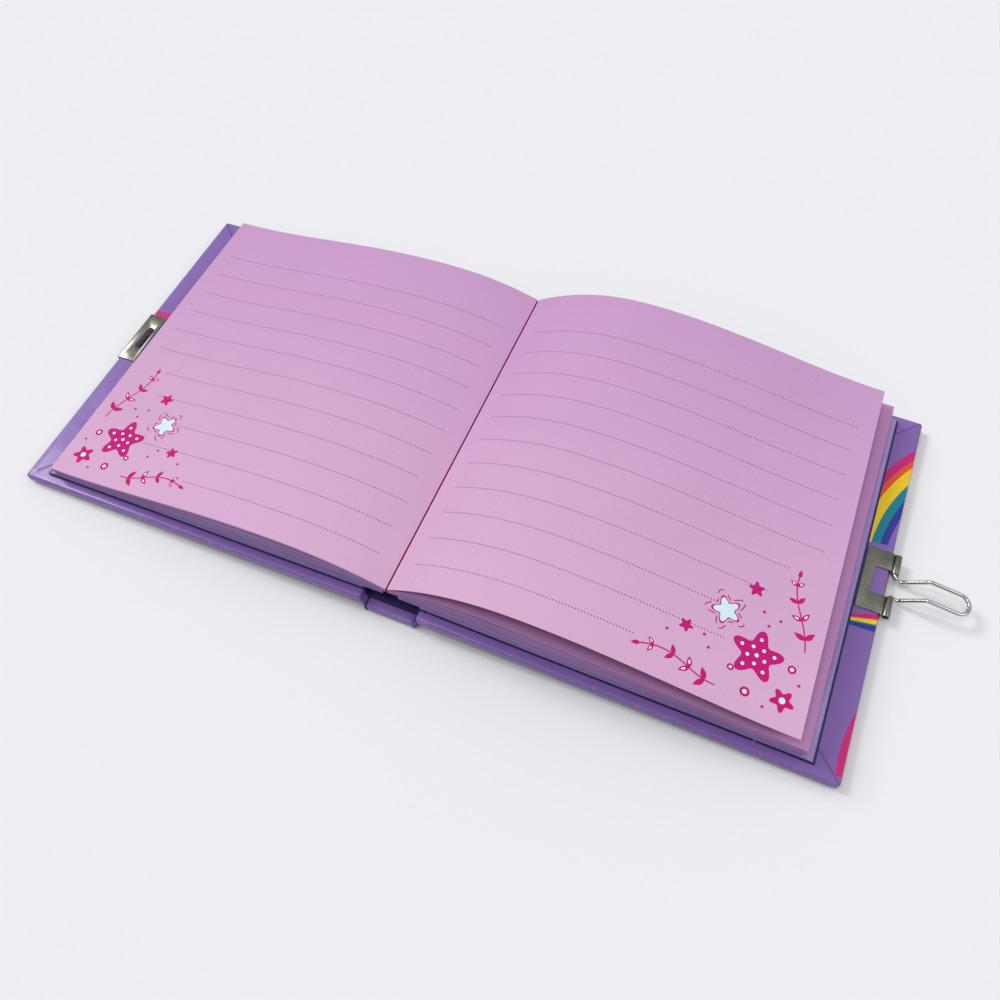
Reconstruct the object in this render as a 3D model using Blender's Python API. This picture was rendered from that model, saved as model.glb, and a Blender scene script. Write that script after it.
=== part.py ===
"""Hardback secret diary lying open, with a hasp at the fore-edges of its covers.

Metres, +Z up.  The origin is the middle of the spine strip's underside, which
stands on the table.  +X runs to the back cover, +Y to the head of the book.

Each half of the book (front = -X, back = +X) is modelled in the frame of its
cover hinge: local X runs outward along the cover, local Z is the cover's
normal, and local Y is along the hinge.
"""
import math

import bmesh
import bpy
from mathutils import Matrix, Vector

# Case: covers and spine strip
COVER_WIDTH = 0.1524        # a cover, spine end to fore-edge
COVER_HEIGHT = 0.155        # tail to head
COVER_THICKNESS = 0.0042    # board and its wrap together
WRAP_THICKNESS = 0.0004     # laminated paper round the boards
WRAP_GAP = 0.0003           # between wrap and board
TURN_IN = 0.016             # the wrap's border folded onto the inner face
COVER_ROUNDING = 0.0006     # soft edges of the wrapped covers
JOINT_GROOVE = 0.0006       # hinge axis to the end of the cover
SPINE_WIDTH = 0.0194
HINGE_THICKNESS = 0.0004
HINGE_GAP = 0.0003          # spine strip to hinge strip
HINGE_RISE = 0.0055         # the open covers' spine ends above the table

# Endpapers
PAPER_THICKNESS = 0.0003
PAPER_GAP = 0.0002
ENDPAPER_TO_PLATE = 0.0004  # fore-edge of the endpapers to the wider lock plate
ENDPAPER_START = 0.0008     # its start, outside the hinge axis
ENDPAPER_OVER_LEAF = 0.0003 # past the leaves' head and tail
LINING_MARGIN = 0.0007      # spine lining inside the spine strip's sides

# Block of leaves
PAGE_MARGIN = 0.0038        # leaves inside the covers' head and tail
SECTION_COUNT = 3
SECTION_THICKNESS = 0.00112
SECTION_GAP = 0.00015
BLOCK_SEAT = 0.0003         # flyleaf to the first section
FIRST_SECTION_INSET = 0.0008    # section next to a cover, inside its endpapers
BLOCK_TO_LOOP = 0.0010      # closed block to the wire that passes its fore-edge
BLOCK_PIVOT_RISE = 0.0038   # turning axis of half a block above the cover hinge
GUTTER_CLEARANCE = 0.00025
MULL_THICKNESS = 0.0004
MULL_GAP = 0.0002
MULL_INSET = 0.0020         # mull inside the leaves' head and tail
SPINE_CLEARANCE = 0.0005    # closed block to the spine lining

# Loose leaves that arch over each half of the block
LEAF_THICKNESS = 0.0003
LEAF_GAP = 0.00018
LEAF_START = 0.00025        # from the gutter plane
ARCH_STEPS = 20
ARCH_ROWS = 5
BUNDLE_OVERHANG = 0.0004    # loose leaves past the block's fore-edge
FRONT_LEAF_OVER_TAIL = 0.0007   # open leaf past the block's fore-edge
FRONT_LEAF_OVER_HEAD = 0.0004
LIFTED_DRAW_TAIL = 0.0041   # lifted leaf drawn in by its arch
LIFTED_DRAW_HEAD = 0.0057
RISE_POWER = 2.4            # how fast the leaves rise out of the gutter
GUTTER_HEIGHT = 0.0070      # leaves at the gutter above the cover's inner face
FRONT_CREST_TAIL = 0.0154
FRONT_CREST_HEAD = 0.0145
FRONT_CREST_REACH = 0.048
FRONT_EDGE_HEIGHT = 0.0067
BUNDLE_CREST_TAIL = 0.0141
BUNDLE_CREST_HEAD = 0.0141
BUNDLE_CREST_REACH = 0.040
BUNDLE_EDGE_HEIGHT = 0.0090
BUNDLE_DROP = 0.0006        # bundle's end below the lifted leaf's, at the gutter
LIFTED_CREST_TAIL = 0.0252
LIFTED_CREST_HEAD = 0.0245
LIFTED_CREST_REACH = 0.055
LIFTED_EDGE_TAIL = 0.0163
LIFTED_EDGE_HEAD = 0.0157

# Lock plates, folded over the covers' fore-edges
LOCK_Y = 0.0008
PLATE_LENGTH = 0.026
PLATE_THICKNESS = 0.0005
PLATE_GAP = 0.0002
FRONT_PLATE_REACH = 0.0080  # on the cover's face, from its fore-edge
BACK_PLATE_REACH = 0.0092
PLATE_FOLD_RADIUS = 0.0009
SLOT_FROM_EDGE = 0.0048
SLOT_LENGTH = 0.0120
SLOT_WIDTH = 0.0034
SLOT_MARGIN = 0.0003        # the hole in wrap and board round the plate's slot
WINDOW_LENGTH = 0.0112
WINDOW_REACH = 0.0054       # in from the cover's fore-edge

# Wire loop
WIRE_DIAMETER = 0.0016
WIRE_CLEARANCE = 0.00025    # in the barrels
BARREL_WALL = 0.00045
BARREL_SINK = 0.00015       # barrel into the plate's folded edge
LEG_SPACING = 0.0078        # between the legs' centre lines
LEG_TO_BARREL = 0.0003
FOOT_LENGTH = 0.0066        # of each leg's end in its barrel
LOOP_LENGTH = 0.0254        # axis to the far centre line
LOOP_DIP = 0.0016
LOOP_DIP_AT = 0.0030
LOOP_KINK_END = 0.0106
WIRE_BEND = 0.0016
LOOP_DROOP = math.radians(8.0)

# What follows from the sizes
WIRE_RADIUS = WIRE_DIAMETER / 2
HALF_HEIGHT = COVER_HEIGHT / 2
HINGE_X = SPINE_WIDTH / 2 + HINGE_GAP + HINGE_THICKNESS
COVER_END = JOINT_GROOVE + COVER_WIDTH
PLATE_EDGE = COVER_END + PLATE_GAP + PLATE_THICKNESS
PLATE_TOP = COVER_THICKNESS + PLATE_GAP + PLATE_THICKNESS
PLATE_BOTTOM = -PLATE_GAP - PLATE_THICKNESS
TILT = (math.asin(HINGE_RISE / math.hypot(PLATE_EDGE, PLATE_BOTTOM))
        - math.atan2(-PLATE_BOTTOM, PLATE_EDGE))
FOLD = math.pi / 2 + TILT
PIVOT_B = BLOCK_PIVOT_RISE
PIVOT_A = -PIVOT_B * math.tan(FOLD / 2)
PASTEDOWN_LOW = COVER_THICKNESS + PAPER_GAP
FLYLEAF_LOW = PASTEDOWN_LOW + PAPER_THICKNESS + PAPER_GAP
BLOCK_LOW = FLYLEAF_LOW + PAPER_THICKNESS + BLOCK_SEAT
BLOCK_TOP = BLOCK_LOW + SECTION_COUNT * (SECTION_THICKNESS + SECTION_GAP) - SECTION_GAP
SPINE_LINING_LOW = COVER_THICKNESS + PAPER_GAP
SPINE_LINING_TOP = SPINE_LINING_LOW + PAPER_THICKNESS
ENDPAPER_END = COVER_END - max(FRONT_PLATE_REACH, BACK_PLATE_REACH) - ENDPAPER_TO_PLATE
SLOT_A = COVER_END - SLOT_FROM_EDGE
BLOCK_SHIFT = -PIVOT_A + PIVOT_B * math.sin(FOLD) + PIVOT_A * math.cos(FOLD)
BLOCK_EDGE = SLOT_A - WIRE_RADIUS - BLOCK_TO_LOOP - BLOCK_SHIFT
BARREL_BORE = WIRE_RADIUS + WIRE_CLEARANCE
BARREL_RADIUS = BARREL_BORE + BARREL_WALL
PIVOT_HEIGHT = HINGE_RISE - PIVOT_A * math.sin(TILT) + PIVOT_B * math.cos(TILT)
BACK_REACH = PIVOT_HEIGHT - SPINE_LINING_TOP - SPINE_CLEARANCE - MULL_THICKNESS - MULL_GAP
AXIS_A = PLATE_EDGE + BARREL_RADIUS - BARREL_SINK
AXIS_B = PLATE_TOP - BARREL_RADIUS
LOOP_OFFSET = AXIS_A - SLOT_A
PAGE_Y0 = -HALF_HEIGHT + PAGE_MARGIN
PAGE_Y1 = HALF_HEIGHT - PAGE_MARGIN
ENDPAPER_DEPTH = PAGE_Y1 + ENDPAPER_OVER_LEAF

FRONT, BACK = -1, 1


def hinge_frame(side):
    """Matrix of a cover hinge: X outward along the cover, Z its normal."""
    x_axis = Vector((side * math.cos(TILT), 0, -math.sin(TILT)))
    z_axis = Vector((side * math.sin(TILT), 0, math.cos(TILT)))
    y_axis = z_axis.cross(x_axis)
    matrix = Matrix((x_axis, y_axis, z_axis)).transposed().to_4x4()
    matrix.translation = (side * HINGE_X, 0, HINGE_RISE)
    return matrix


def gutter_a(b):
    """Local X of the plane x = 0 at the local height b."""
    return -(HINGE_X + b * math.sin(TILT)) / math.cos(TILT)


def span(side, y0, y1):
    """A world Y range as the half's own local Y range."""
    return tuple(sorted((side * y0, side * y1)))


def material(name, colour, roughness, metallic=0.0, coat=0.0):
    mat = bpy.data.materials.new(name)
    mat.use_nodes = True
    shader = mat.node_tree.nodes["Principled BSDF"]
    shader.inputs["Base Color"].default_value = (*colour, 1.0)
    shader.inputs["Roughness"].default_value = roughness
    shader.inputs["Metallic"].default_value = metallic
    shader.inputs["Coat Weight"].default_value = coat
    return mat


def add_empty(name, matrix):
    empty = bpy.data.objects.new(name, None)
    empty.empty_display_size = 0.01
    bpy.context.scene.collection.objects.link(empty)
    empty.matrix_world = matrix
    return empty


def add_object(name, data, parent, mat=None, shift=(0, 0, 0)):
    obj = bpy.data.objects.new(name, data)
    obj.parent = parent
    obj.location = -Vector(shift)
    bpy.context.scene.collection.objects.link(obj)
    if mat:
        data.materials.append(mat)
    return obj


def to_mesh(name, bm):
    bmesh.ops.recalc_face_normals(bm, faces=bm.faces)
    mesh = bpy.data.meshes.new(name)
    bm.to_mesh(mesh)
    bm.free()
    return mesh


def box_mesh(name, xs, ys, zs):
    """A box between pairs of coordinates."""
    bm = bmesh.new()
    bmesh.ops.create_cube(bm, size=1.0)
    for vert in bm.verts:
        for axis, (low, high) in enumerate((xs, ys, zs)):
            vert.co[axis] = high if vert.co[axis] > 0 else low
    return to_mesh(name, bm)


def prism_mesh(name, outline, y0, y1):
    """An outline of (x, z) points drawn out along Y."""
    bm = bmesh.new()
    face = bm.faces.new([bm.verts.new((x, y0, z)) for x, z in outline])
    grown = bmesh.ops.extrude_face_region(bm, geom=[face])
    moved = [item for item in grown["geom"] if isinstance(item, bmesh.types.BMVert)]
    bmesh.ops.translate(bm, verts=moved, vec=(0, y1 - y0, 0))
    return to_mesh(name, bm)


def fillet(before, here, after, radius, steps):
    """Points of the arc that eases the corner at here."""
    one, two = (before - here).normalized(), (after - here).normalized()
    half = one.angle(two) / 2
    centre = here + (one + two).normalized() * (radius / math.sin(half))
    start = (here + one * (radius / math.tan(half)) - centre).normalized()
    end = (here + two * (radius / math.tan(half)) - centre).normalized()
    return [centre + radius * start.slerp(end, step / steps) for step in range(steps + 1)]


def rounded(outline, radii, steps=4):
    """The outline with a fillet at each corner that has a radius."""
    corners = [Vector(corner) for corner in outline]
    points = []
    for index, radius in enumerate(radii):
        after = corners[(index + 1) % len(corners)]
        points += (fillet(corners[index - 1], corners[index], after, radius, steps)
                   if radius else [corners[index]])
    return points


def stadium_mesh(name, a, y, length, width, b0, b1):
    """A slot with round ends along Y, drawn out along Z."""
    bm = bmesh.new()
    radius = width / 2
    points = []
    for centre, turn in ((length / 2 - radius, 0.0), (radius - length / 2, math.pi)):
        for step in range(9):
            angle = turn + math.pi * step / 8
            points.append((a + radius * math.cos(angle), y + centre + radius * math.sin(angle)))
    face = bm.faces.new([bm.verts.new((px, py, b0)) for px, py in points])
    grown = bmesh.ops.extrude_face_region(bm, geom=[face])
    moved = [item for item in grown["geom"] if isinstance(item, bmesh.types.BMVert)]
    bmesh.ops.translate(bm, verts=moved, vec=(0, 0, b1 - b0))
    return to_mesh(name, bm)


def tube_mesh(name, a, b, outer, inner, y0, y1, sides=20):
    """A barrel along Y with its bore."""
    bm = bmesh.new()
    rings = []
    for radius, y in ((outer, y0), (outer, y1), (inner, y1), (inner, y0)):
        rings.append([bm.verts.new((a + radius * math.cos(math.tau * i / sides), y,
                                    b + radius * math.sin(math.tau * i / sides)))
                      for i in range(sides)])
    for near, far in zip(rings, rings[1:] + rings[:1]):
        for i in range(sides):
            j = (i + 1) % sides
            bm.faces.new((near[i], near[j], far[j], far[i]))
    return to_mesh(name, bm)


def arched_mesh(name, start, end, ys, low, high):
    """A solid between two height functions of (x, y), out to the line end(y)."""
    bm = bmesh.new()
    bottom, top = [], []
    for i in range(ARCH_STEPS + 1):
        share = (i / ARCH_STEPS) ** 1.4
        spots = [(start + (end(y) - start) * share, y)
                 for y in (ys[0] + (ys[1] - ys[0]) * j / ARCH_ROWS
                           for j in range(ARCH_ROWS + 1))]
        bottom.append([bm.verts.new((x, y, low(x, y))) for x, y in spots])
        top.append([bm.verts.new((x, y, high(x, y))) for x, y in spots])
    for grid in (bottom, top):
        for i in range(ARCH_STEPS):
            for j in range(ARCH_ROWS):
                bm.faces.new((grid[i][j], grid[i + 1][j], grid[i + 1][j + 1], grid[i][j + 1]))
    for i in range(ARCH_STEPS):
        for j in (0, ARCH_ROWS):
            bm.faces.new((bottom[i][j], bottom[i + 1][j], top[i + 1][j], top[i][j]))
    for j in range(ARCH_ROWS):
        for i in (0, ARCH_STEPS):
            bm.faces.new((bottom[i][j], bottom[i][j + 1], top[i][j + 1], top[i][j]))
    mesh = to_mesh(name, bm)
    mesh.shade_smooth()
    mesh.set_sharp_from_angle(angle=math.radians(40))
    return mesh


def combine(obj, tool, operation):
    """Boolean of an object with a hidden tool object."""
    tool.hide_render = True
    tool.display_type = "WIRE"
    modifier = obj.modifiers.new(tool.name, "BOOLEAN")
    modifier.object = tool
    modifier.operation = operation
    modifier.solver = "EXACT"


def soften(obj, width, segments=2):
    bevel = obj.modifiers.new("soft_edges", "BEVEL")
    bevel.width = width
    bevel.segments = segments
    bevel.limit_method = "ANGLE"


def wrap_shell(name, parent, mat, xs, open_low, open_high):
    """Laminated paper folded round a board, with its turn-ins on the inner face.

    xs is the wrap's range in local X.  An open end has no turn-in and no wall.
    """
    past = 0.004
    shell = add_object(name, box_mesh(name, xs, (-HALF_HEIGHT, HALF_HEIGHT),
                                      (0, COVER_THICKNESS)), parent, mat)
    soften(shell, min(COVER_ROUNDING, 0.9 * WRAP_THICKNESS))
    for label, inset, zs in (
            ("cavity", WRAP_THICKNESS, (WRAP_THICKNESS, COVER_THICKNESS - WRAP_THICKNESS)),
            ("face", TURN_IN, (COVER_THICKNESS / 2, COVER_THICKNESS + past))):
        low = xs[0] - past if open_low else xs[0] + inset
        high = xs[1] + past if open_high else xs[1] - inset
        depth = HALF_HEIGHT - inset
        tool = add_object(f"{name}_{label}", box_mesh(label, (low, high), (-depth, depth), zs),
                          parent)
        combine(shell, tool, "DIFFERENCE")
    return shell


def board(name, parent, mat, xs, open_low, open_high):
    """The greyboard inside a wrap."""
    inset = WRAP_THICKNESS + WRAP_GAP
    low = xs[0] + (WRAP_GAP if open_low else inset)
    high = xs[1] - (WRAP_GAP if open_high else inset)
    depth = HALF_HEIGHT - inset
    return add_object(name, box_mesh(name, (low, high), (-depth, depth),
                                     (inset, COVER_THICKNESS - inset)), parent, mat)


def cut_slot(obj, parent, side, margin):
    tool = add_object(f"{obj.name}_slot", stadium_mesh(
        "slot", SLOT_A, side * LOCK_Y, SLOT_LENGTH + 2 * margin, SLOT_WIDTH + 2 * margin,
        PLATE_BOTTOM - 0.002, PLATE_TOP + 0.002), parent)
    combine(obj, tool, "DIFFERENCE")


def build_spine(mats):
    """The spine strip that stands on the table, and its two hinge strips."""
    frame = add_empty("spine_frame", Matrix())
    half = SPINE_WIDTH / 2
    wrap_shell("spine_wrap", frame, mats["cover"], (-half, half), True, True)
    board("spine_board", frame, mats["board"], (-half, half), True, True)
    add_object("spine_lining", box_mesh(
        "spine_lining", (LINING_MARGIN - half, half - LINING_MARGIN),
        (-ENDPAPER_DEPTH, ENDPAPER_DEPTH), (SPINE_LINING_LOW, SPINE_LINING_TOP)),
        frame, mats["endpaper"])
    inner = half + HINGE_GAP
    foot = COVER_ROUNDING / 2
    for side, name in ((FRONT, "front_hinge_strip"), (BACK, "back_hinge_strip")):
        outline = [(side * inner, foot), (side * (inner + HINGE_THICKNESS), foot),
                   (side * (inner + HINGE_THICKNESS), HINGE_RISE - 2 * HINGE_GAP),
                   (side * inner, HINGE_RISE - 2 * HINGE_GAP)]
        add_object(name, prism_mesh(name, outline, -HALF_HEIGHT, HALF_HEIGHT), frame,
                   mats["cover"])


def build_cover(side, prefix, frame, mats):
    """One cover: board, wrap, pastedown, flyleaf and the section that lies on it."""
    xs = (JOINT_GROOVE, COVER_END)
    shell = wrap_shell(f"{prefix}_cover_wrap", frame, mats["cover"], xs, True, False)
    core = board(f"{prefix}_board", frame, mats["board"], xs, True, False)
    if side == FRONT:
        cut_slot(shell, frame, side, SLOT_MARGIN)
        cut_slot(core, frame, side, SLOT_MARGIN)
    for name, low in ((f"{prefix}_pastedown", PASTEDOWN_LOW), (f"{prefix}_flyleaf", FLYLEAF_LOW)):
        add_object(name, box_mesh(name, (ENDPAPER_START, ENDPAPER_END),
                                  (-ENDPAPER_DEPTH, ENDPAPER_DEPTH),
                                  (low, low + PAPER_THICKNESS)), frame, mats["endpaper"])
    name = f"{prefix}_section_1"
    add_object(name, box_mesh(name, (ENDPAPER_START, ENDPAPER_END - FIRST_SECTION_INSET),
                              (PAGE_Y0, PAGE_Y1), (BLOCK_LOW, BLOCK_LOW + SECTION_THICKNESS)),
               frame, mats["page"])


def plate_outline(reach):
    """A lock plate's section: inner leaf, fold over the fore-edge, outer leaf."""
    start = COVER_END - reach
    edge = COVER_END + PLATE_GAP
    outline = [(start, PLATE_TOP), (PLATE_EDGE, PLATE_TOP), (PLATE_EDGE, PLATE_BOTTOM),
               (start, PLATE_BOTTOM), (start, -PLATE_GAP), (edge, -PLATE_GAP),
               (edge, COVER_THICKNESS + PLATE_GAP), (start, COVER_THICKNESS + PLATE_GAP)]
    inner = PLATE_FOLD_RADIUS - PLATE_THICKNESS
    radii = [0, PLATE_FOLD_RADIUS, PLATE_FOLD_RADIUS, 0, 0, inner, inner, 0]
    return rounded(outline, radii)


def build_front_plate(frame, mats):
    ys = span(FRONT, LOCK_Y - PLATE_LENGTH / 2, LOCK_Y + PLATE_LENGTH / 2)
    name = "front_lock_plate"
    plate = add_object(name, prism_mesh(name, plate_outline(FRONT_PLATE_REACH), *ys),
                       frame, mats["steel"])
    cut_slot(plate, frame, FRONT, 0.0)


def build_back_plate(frame, mats):
    """The hasp plate: a window open to the fore-edge and two barrels for the wire."""
    low, high = LOCK_Y - PLATE_LENGTH / 2, LOCK_Y + PLATE_LENGTH / 2
    name = "back_lock_plate"
    plate = add_object(name, prism_mesh(name, plate_outline(BACK_PLATE_REACH), low, high),
                       frame, mats["steel"])
    window = add_object("back_plate_window", box_mesh(
        "window", (COVER_END - WINDOW_REACH, PLATE_EDGE + PLATE_THICKNESS),
        (LOCK_Y - WINDOW_LENGTH / 2, LOCK_Y + WINDOW_LENGTH / 2),
        (COVER_THICKNESS / 2, PLATE_TOP + 0.002)), frame)
    combine(plate, window, "DIFFERENCE")
    inner = LEG_SPACING / 2 + WIRE_RADIUS + LEG_TO_BARREL
    for label, ys in (("tail", (low, LOCK_Y - inner)), ("head", (LOCK_Y + inner, high))):
        barrel = add_object(f"back_plate_barrel_{label}", tube_mesh(
            "barrel", AXIS_A, AXIS_B, BARREL_RADIUS, BARREL_BORE, *ys), frame)
        combine(plate, barrel, "UNION")


def fillet_path(points, radius, steps=5):
    """A path in space with each inner corner rounded."""
    path = [points[0]]
    for before, here, after in zip(points, points[1:], points[2:]):
        path += fillet(before, here, after, radius, steps)
    return path + [points[-1]]


def build_loop(back_frame, mats):
    """The wire loop on its own axis: X along the loop, Z towards the sections."""
    turn = Matrix.Rotation(LOOP_DROOP, 4, "Y")
    frame = add_empty("hasp_loop_frame",
                      back_frame.matrix_world @ Matrix.Translation((AXIS_A, LOCK_Y, AXIS_B))
                      @ turn)
    leg = LEG_SPACING / 2
    corners = [Vector(p) for p in (
        (0, -leg - FOOT_LENGTH, 0), (0, -leg, 0), (LOOP_DIP_AT, -leg, -LOOP_DIP),
        (LOOP_KINK_END, -leg, LOOP_OFFSET), (LOOP_LENGTH - leg, -leg, LOOP_OFFSET))]
    half_path = fillet_path(corners, WIRE_BEND)
    bow = [Vector((LOOP_LENGTH - leg + leg * math.sin(math.pi * i / 12),
                   -leg * math.cos(math.pi * i / 12), LOOP_OFFSET)) for i in range(1, 12)]
    mirrored = [Vector((p.x, -p.y, p.z)) for p in reversed(half_path)]
    points = half_path + bow + mirrored
    curve = bpy.data.curves.new("hasp_loop", "CURVE")
    curve.dimensions = "3D"
    curve.bevel_depth = WIRE_RADIUS
    curve.bevel_resolution = 2
    curve.use_fill_caps = True
    spline = curve.splines.new("POLY")
    spline.points.add(len(points) - 1)
    for target, point in zip(spline.points, points):
        target.co = (*point, 1.0)
    add_object("hasp_loop", curve, frame, mats["steel"])


def block_outline(low, high):
    """A section's outline in local X and Z, eased round the block's turning axis."""
    radius = PIVOT_A - gutter_a(PIVOT_B) - GUTTER_CLEARANCE
    outline = [(BLOCK_EDGE, low), (BLOCK_EDGE, high)]
    steps = 6
    for step in range(steps + 1):
        b = high + (low - high) * step / steps
        limit = math.sqrt(max(radius ** 2 - (b - PIVOT_B) ** 2, 0.0))
        outline.append((PIVOT_A - min(BACK_REACH, limit), b))
    return outline


def rise_curve(crest_reach, width, gutter, crest, edge):
    """Height of an arching leaf at the distance d from the gutter."""
    def height(d):
        if d < crest_reach:
            left = 1 - max(d, 0) / crest_reach
            return gutter + (crest - gutter) * (1 - left ** RISE_POWER)
        share = min((d - crest_reach) / (width - crest_reach), 1.0)
        return edge + (crest - edge) * (1 + math.cos(math.pi * share)) / 2
    return height


def between(side, tail, head):
    """A value that runs evenly from the leaves' tail to their head."""
    return lambda y: tail + (head - tail) * (side * y - PAGE_Y0) / (PAGE_Y1 - PAGE_Y0)


def arch(side, reach, gutter, tail, head):
    """Local height over a half: tail and head are (crest, edge) pairs."""
    width = BLOCK_EDGE - gutter_a(BLOCK_TOP)
    at_tail = rise_curve(reach, width, gutter, *tail)
    at_head = rise_curve(reach, width, gutter, *head)

    def height(a, y):
        d = a - gutter_a(BLOCK_TOP)
        return COVER_THICKNESS + between(side, at_tail(d), at_head(d))(y)
    return height


def build_pages(side, prefix, frame, mats):
    """Half the block: its moving sections, mull, loose leaves and the open leaf."""
    shift = (PIVOT_A, 0, PIVOT_B)
    ys = span(side, PAGE_Y0, PAGE_Y1)
    for index in range(1, SECTION_COUNT):
        low = BLOCK_LOW + index * (SECTION_THICKNESS + SECTION_GAP)
        name = f"{prefix}_section_{index + 1}"
        add_object(name, prism_mesh(name, block_outline(low, low + SECTION_THICKNESS), *ys),
                   frame, mats["page"], shift)
    back = PIVOT_A - BACK_REACH
    mull_ys = span(side, PAGE_Y0 + MULL_INSET, PAGE_Y1 - MULL_INSET)
    low = BLOCK_LOW + SECTION_THICKNESS + SECTION_GAP
    high = BLOCK_TOP - SECTION_THICKNESS / 4
    add_object(f"{prefix}_mull", box_mesh(
        "mull", (back - MULL_GAP - MULL_THICKNESS, back - MULL_GAP), mull_ys, (low, high)),
        frame, mats["mull"], shift)

    start = gutter_a(BLOCK_TOP) + LEAF_START
    seat = BLOCK_TOP + LEAF_GAP
    ease = back - start

    def floor(a, y):
        """Underside of the loose leaves: on the block, dipping to the gutter."""
        share = min(max((back - a) / ease, 0.0), 1.0)
        return seat - 2 * LEAF_THICKNESS * share * share

    if side == FRONT:
        leaf = arch(side, FRONT_CREST_REACH, GUTTER_HEIGHT,
                    (FRONT_CREST_TAIL, FRONT_EDGE_HEIGHT), (FRONT_CREST_HEAD, FRONT_EDGE_HEIGHT))
        bundle_top = lambda a, y: leaf(a, y) - LEAF_THICKNESS - LEAF_GAP
        leaf_end = between(side, BLOCK_EDGE + FRONT_LEAF_OVER_TAIL,
                           BLOCK_EDGE + FRONT_LEAF_OVER_HEAD)
        leaf_name = "front_open_leaf"
    else:
        leaf = arch(side, LIFTED_CREST_REACH, GUTTER_HEIGHT,
                    (LIFTED_CREST_TAIL, LIFTED_EDGE_TAIL), (LIFTED_CREST_HEAD, LIFTED_EDGE_HEAD))
        bundle_top = arch(side, BUNDLE_CREST_REACH, GUTTER_HEIGHT - BUNDLE_DROP,
                          (BUNDLE_CREST_TAIL, BUNDLE_EDGE_HEIGHT),
                          (BUNDLE_CREST_HEAD, BUNDLE_EDGE_HEIGHT))
        leaf_end = between(side, BLOCK_EDGE - LIFTED_DRAW_TAIL, BLOCK_EDGE - LIFTED_DRAW_HEAD)
        leaf_name = "back_lifted_leaf"
    bundle_name = f"{prefix}_loose_leaves"
    add_object(bundle_name, arched_mesh(
        bundle_name, start, lambda y: BLOCK_EDGE + BUNDLE_OVERHANG, ys, floor, bundle_top),
        frame, mats["page"], shift)
    add_object(leaf_name, arched_mesh(
        leaf_name, start, leaf_end, ys, lambda a, y: leaf(a, y) - LEAF_THICKNESS, leaf),
        frame, mats["page"], shift)


def main():
    for obj in list(bpy.data.objects):
        bpy.data.objects.remove(obj)
    mats = {
        "cover": material("laminated_cover", (0.242, 0.141, 0.445), 0.22, coat=0.6),
        "board": material("greyboard", (0.30, 0.28, 0.25), 0.9),
        "endpaper": material("endpaper", (0.022, 0.028, 0.115), 0.6),
        "page": material("pink_page", (0.68, 0.41, 0.64), 0.75),
        "mull": material("mull", (0.62, 0.55, 0.62), 0.9),
        "steel": material("plated_steel", (0.36, 0.36, 0.33), 0.32, metallic=1.0),
    }
    build_spine(mats)
    for side, prefix in ((FRONT, "front"), (BACK, "back")):
        matrix = hinge_frame(side)
        cover_frame = add_empty(f"{prefix}_cover_frame", matrix)
        build_cover(side, prefix, cover_frame, mats)
        pages_frame = add_empty(f"{prefix}_pages_frame",
                                matrix @ Matrix.Translation((PIVOT_A, 0, PIVOT_B)))
        build_pages(side, prefix, pages_frame, mats)
        if side == FRONT:
            build_front_plate(cover_frame, mats)
        else:
            build_back_plate(cover_frame, mats)
            bpy.context.view_layer.update()
            build_loop(cover_frame, mats)


main()
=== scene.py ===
"""Dressing of a small lockable diary that lies open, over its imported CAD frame.

The left half is the front cover with its pages, the right half the back cover.
Each half has its own slanted coordinates: a runs outward along the cover, y to the
head of the pages and b off the cover's outer face. All lengths are in metres.
"""
import logging
import math
from collections.abc import Callable, Sequence
from dataclasses import dataclass, field
from enum import Enum
from itertools import product
from typing import Any

import bmesh
import bpy
from mathutils import Matrix, Vector, noise


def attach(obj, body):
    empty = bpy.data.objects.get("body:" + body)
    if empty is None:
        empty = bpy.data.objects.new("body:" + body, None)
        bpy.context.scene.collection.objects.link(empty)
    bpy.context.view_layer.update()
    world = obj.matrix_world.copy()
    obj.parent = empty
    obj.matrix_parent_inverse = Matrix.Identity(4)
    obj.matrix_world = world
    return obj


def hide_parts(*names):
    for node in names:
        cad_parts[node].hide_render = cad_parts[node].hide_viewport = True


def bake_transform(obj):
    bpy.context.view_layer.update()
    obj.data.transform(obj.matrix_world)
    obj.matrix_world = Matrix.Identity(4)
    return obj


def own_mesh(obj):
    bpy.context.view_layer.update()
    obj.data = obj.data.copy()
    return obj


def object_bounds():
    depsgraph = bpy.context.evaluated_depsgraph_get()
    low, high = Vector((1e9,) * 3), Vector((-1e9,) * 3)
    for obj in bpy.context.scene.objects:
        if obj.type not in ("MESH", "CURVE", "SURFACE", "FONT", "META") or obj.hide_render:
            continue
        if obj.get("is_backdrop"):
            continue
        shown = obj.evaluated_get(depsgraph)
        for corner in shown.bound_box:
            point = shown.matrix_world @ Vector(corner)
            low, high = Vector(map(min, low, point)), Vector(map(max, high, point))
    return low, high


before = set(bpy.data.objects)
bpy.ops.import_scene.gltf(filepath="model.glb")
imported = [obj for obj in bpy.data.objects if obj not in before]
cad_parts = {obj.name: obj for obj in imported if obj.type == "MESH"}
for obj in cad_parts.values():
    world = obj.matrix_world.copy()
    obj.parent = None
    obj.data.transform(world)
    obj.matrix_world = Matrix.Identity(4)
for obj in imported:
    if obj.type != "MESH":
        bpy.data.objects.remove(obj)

log = logging.getLogger("diary")
CAD_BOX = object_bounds()

Point = tuple[float, float]
Colour = tuple[float, float, float]
Values = tuple[tuple[str, float], ...]
Socket = bpy.types.NodeSocket
Node = bpy.types.Node
MM = 0.001
SLOPE = math.radians(1.78975)   # the open covers, down to the table
LEAF_REACH = 0.0737             # from the middle to the leaves' head and tail
LOCK_Y = 0.0008                 # the middle of the clasp
PAPER_SLIP = 0.00001            # between bunches of the first section


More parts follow.
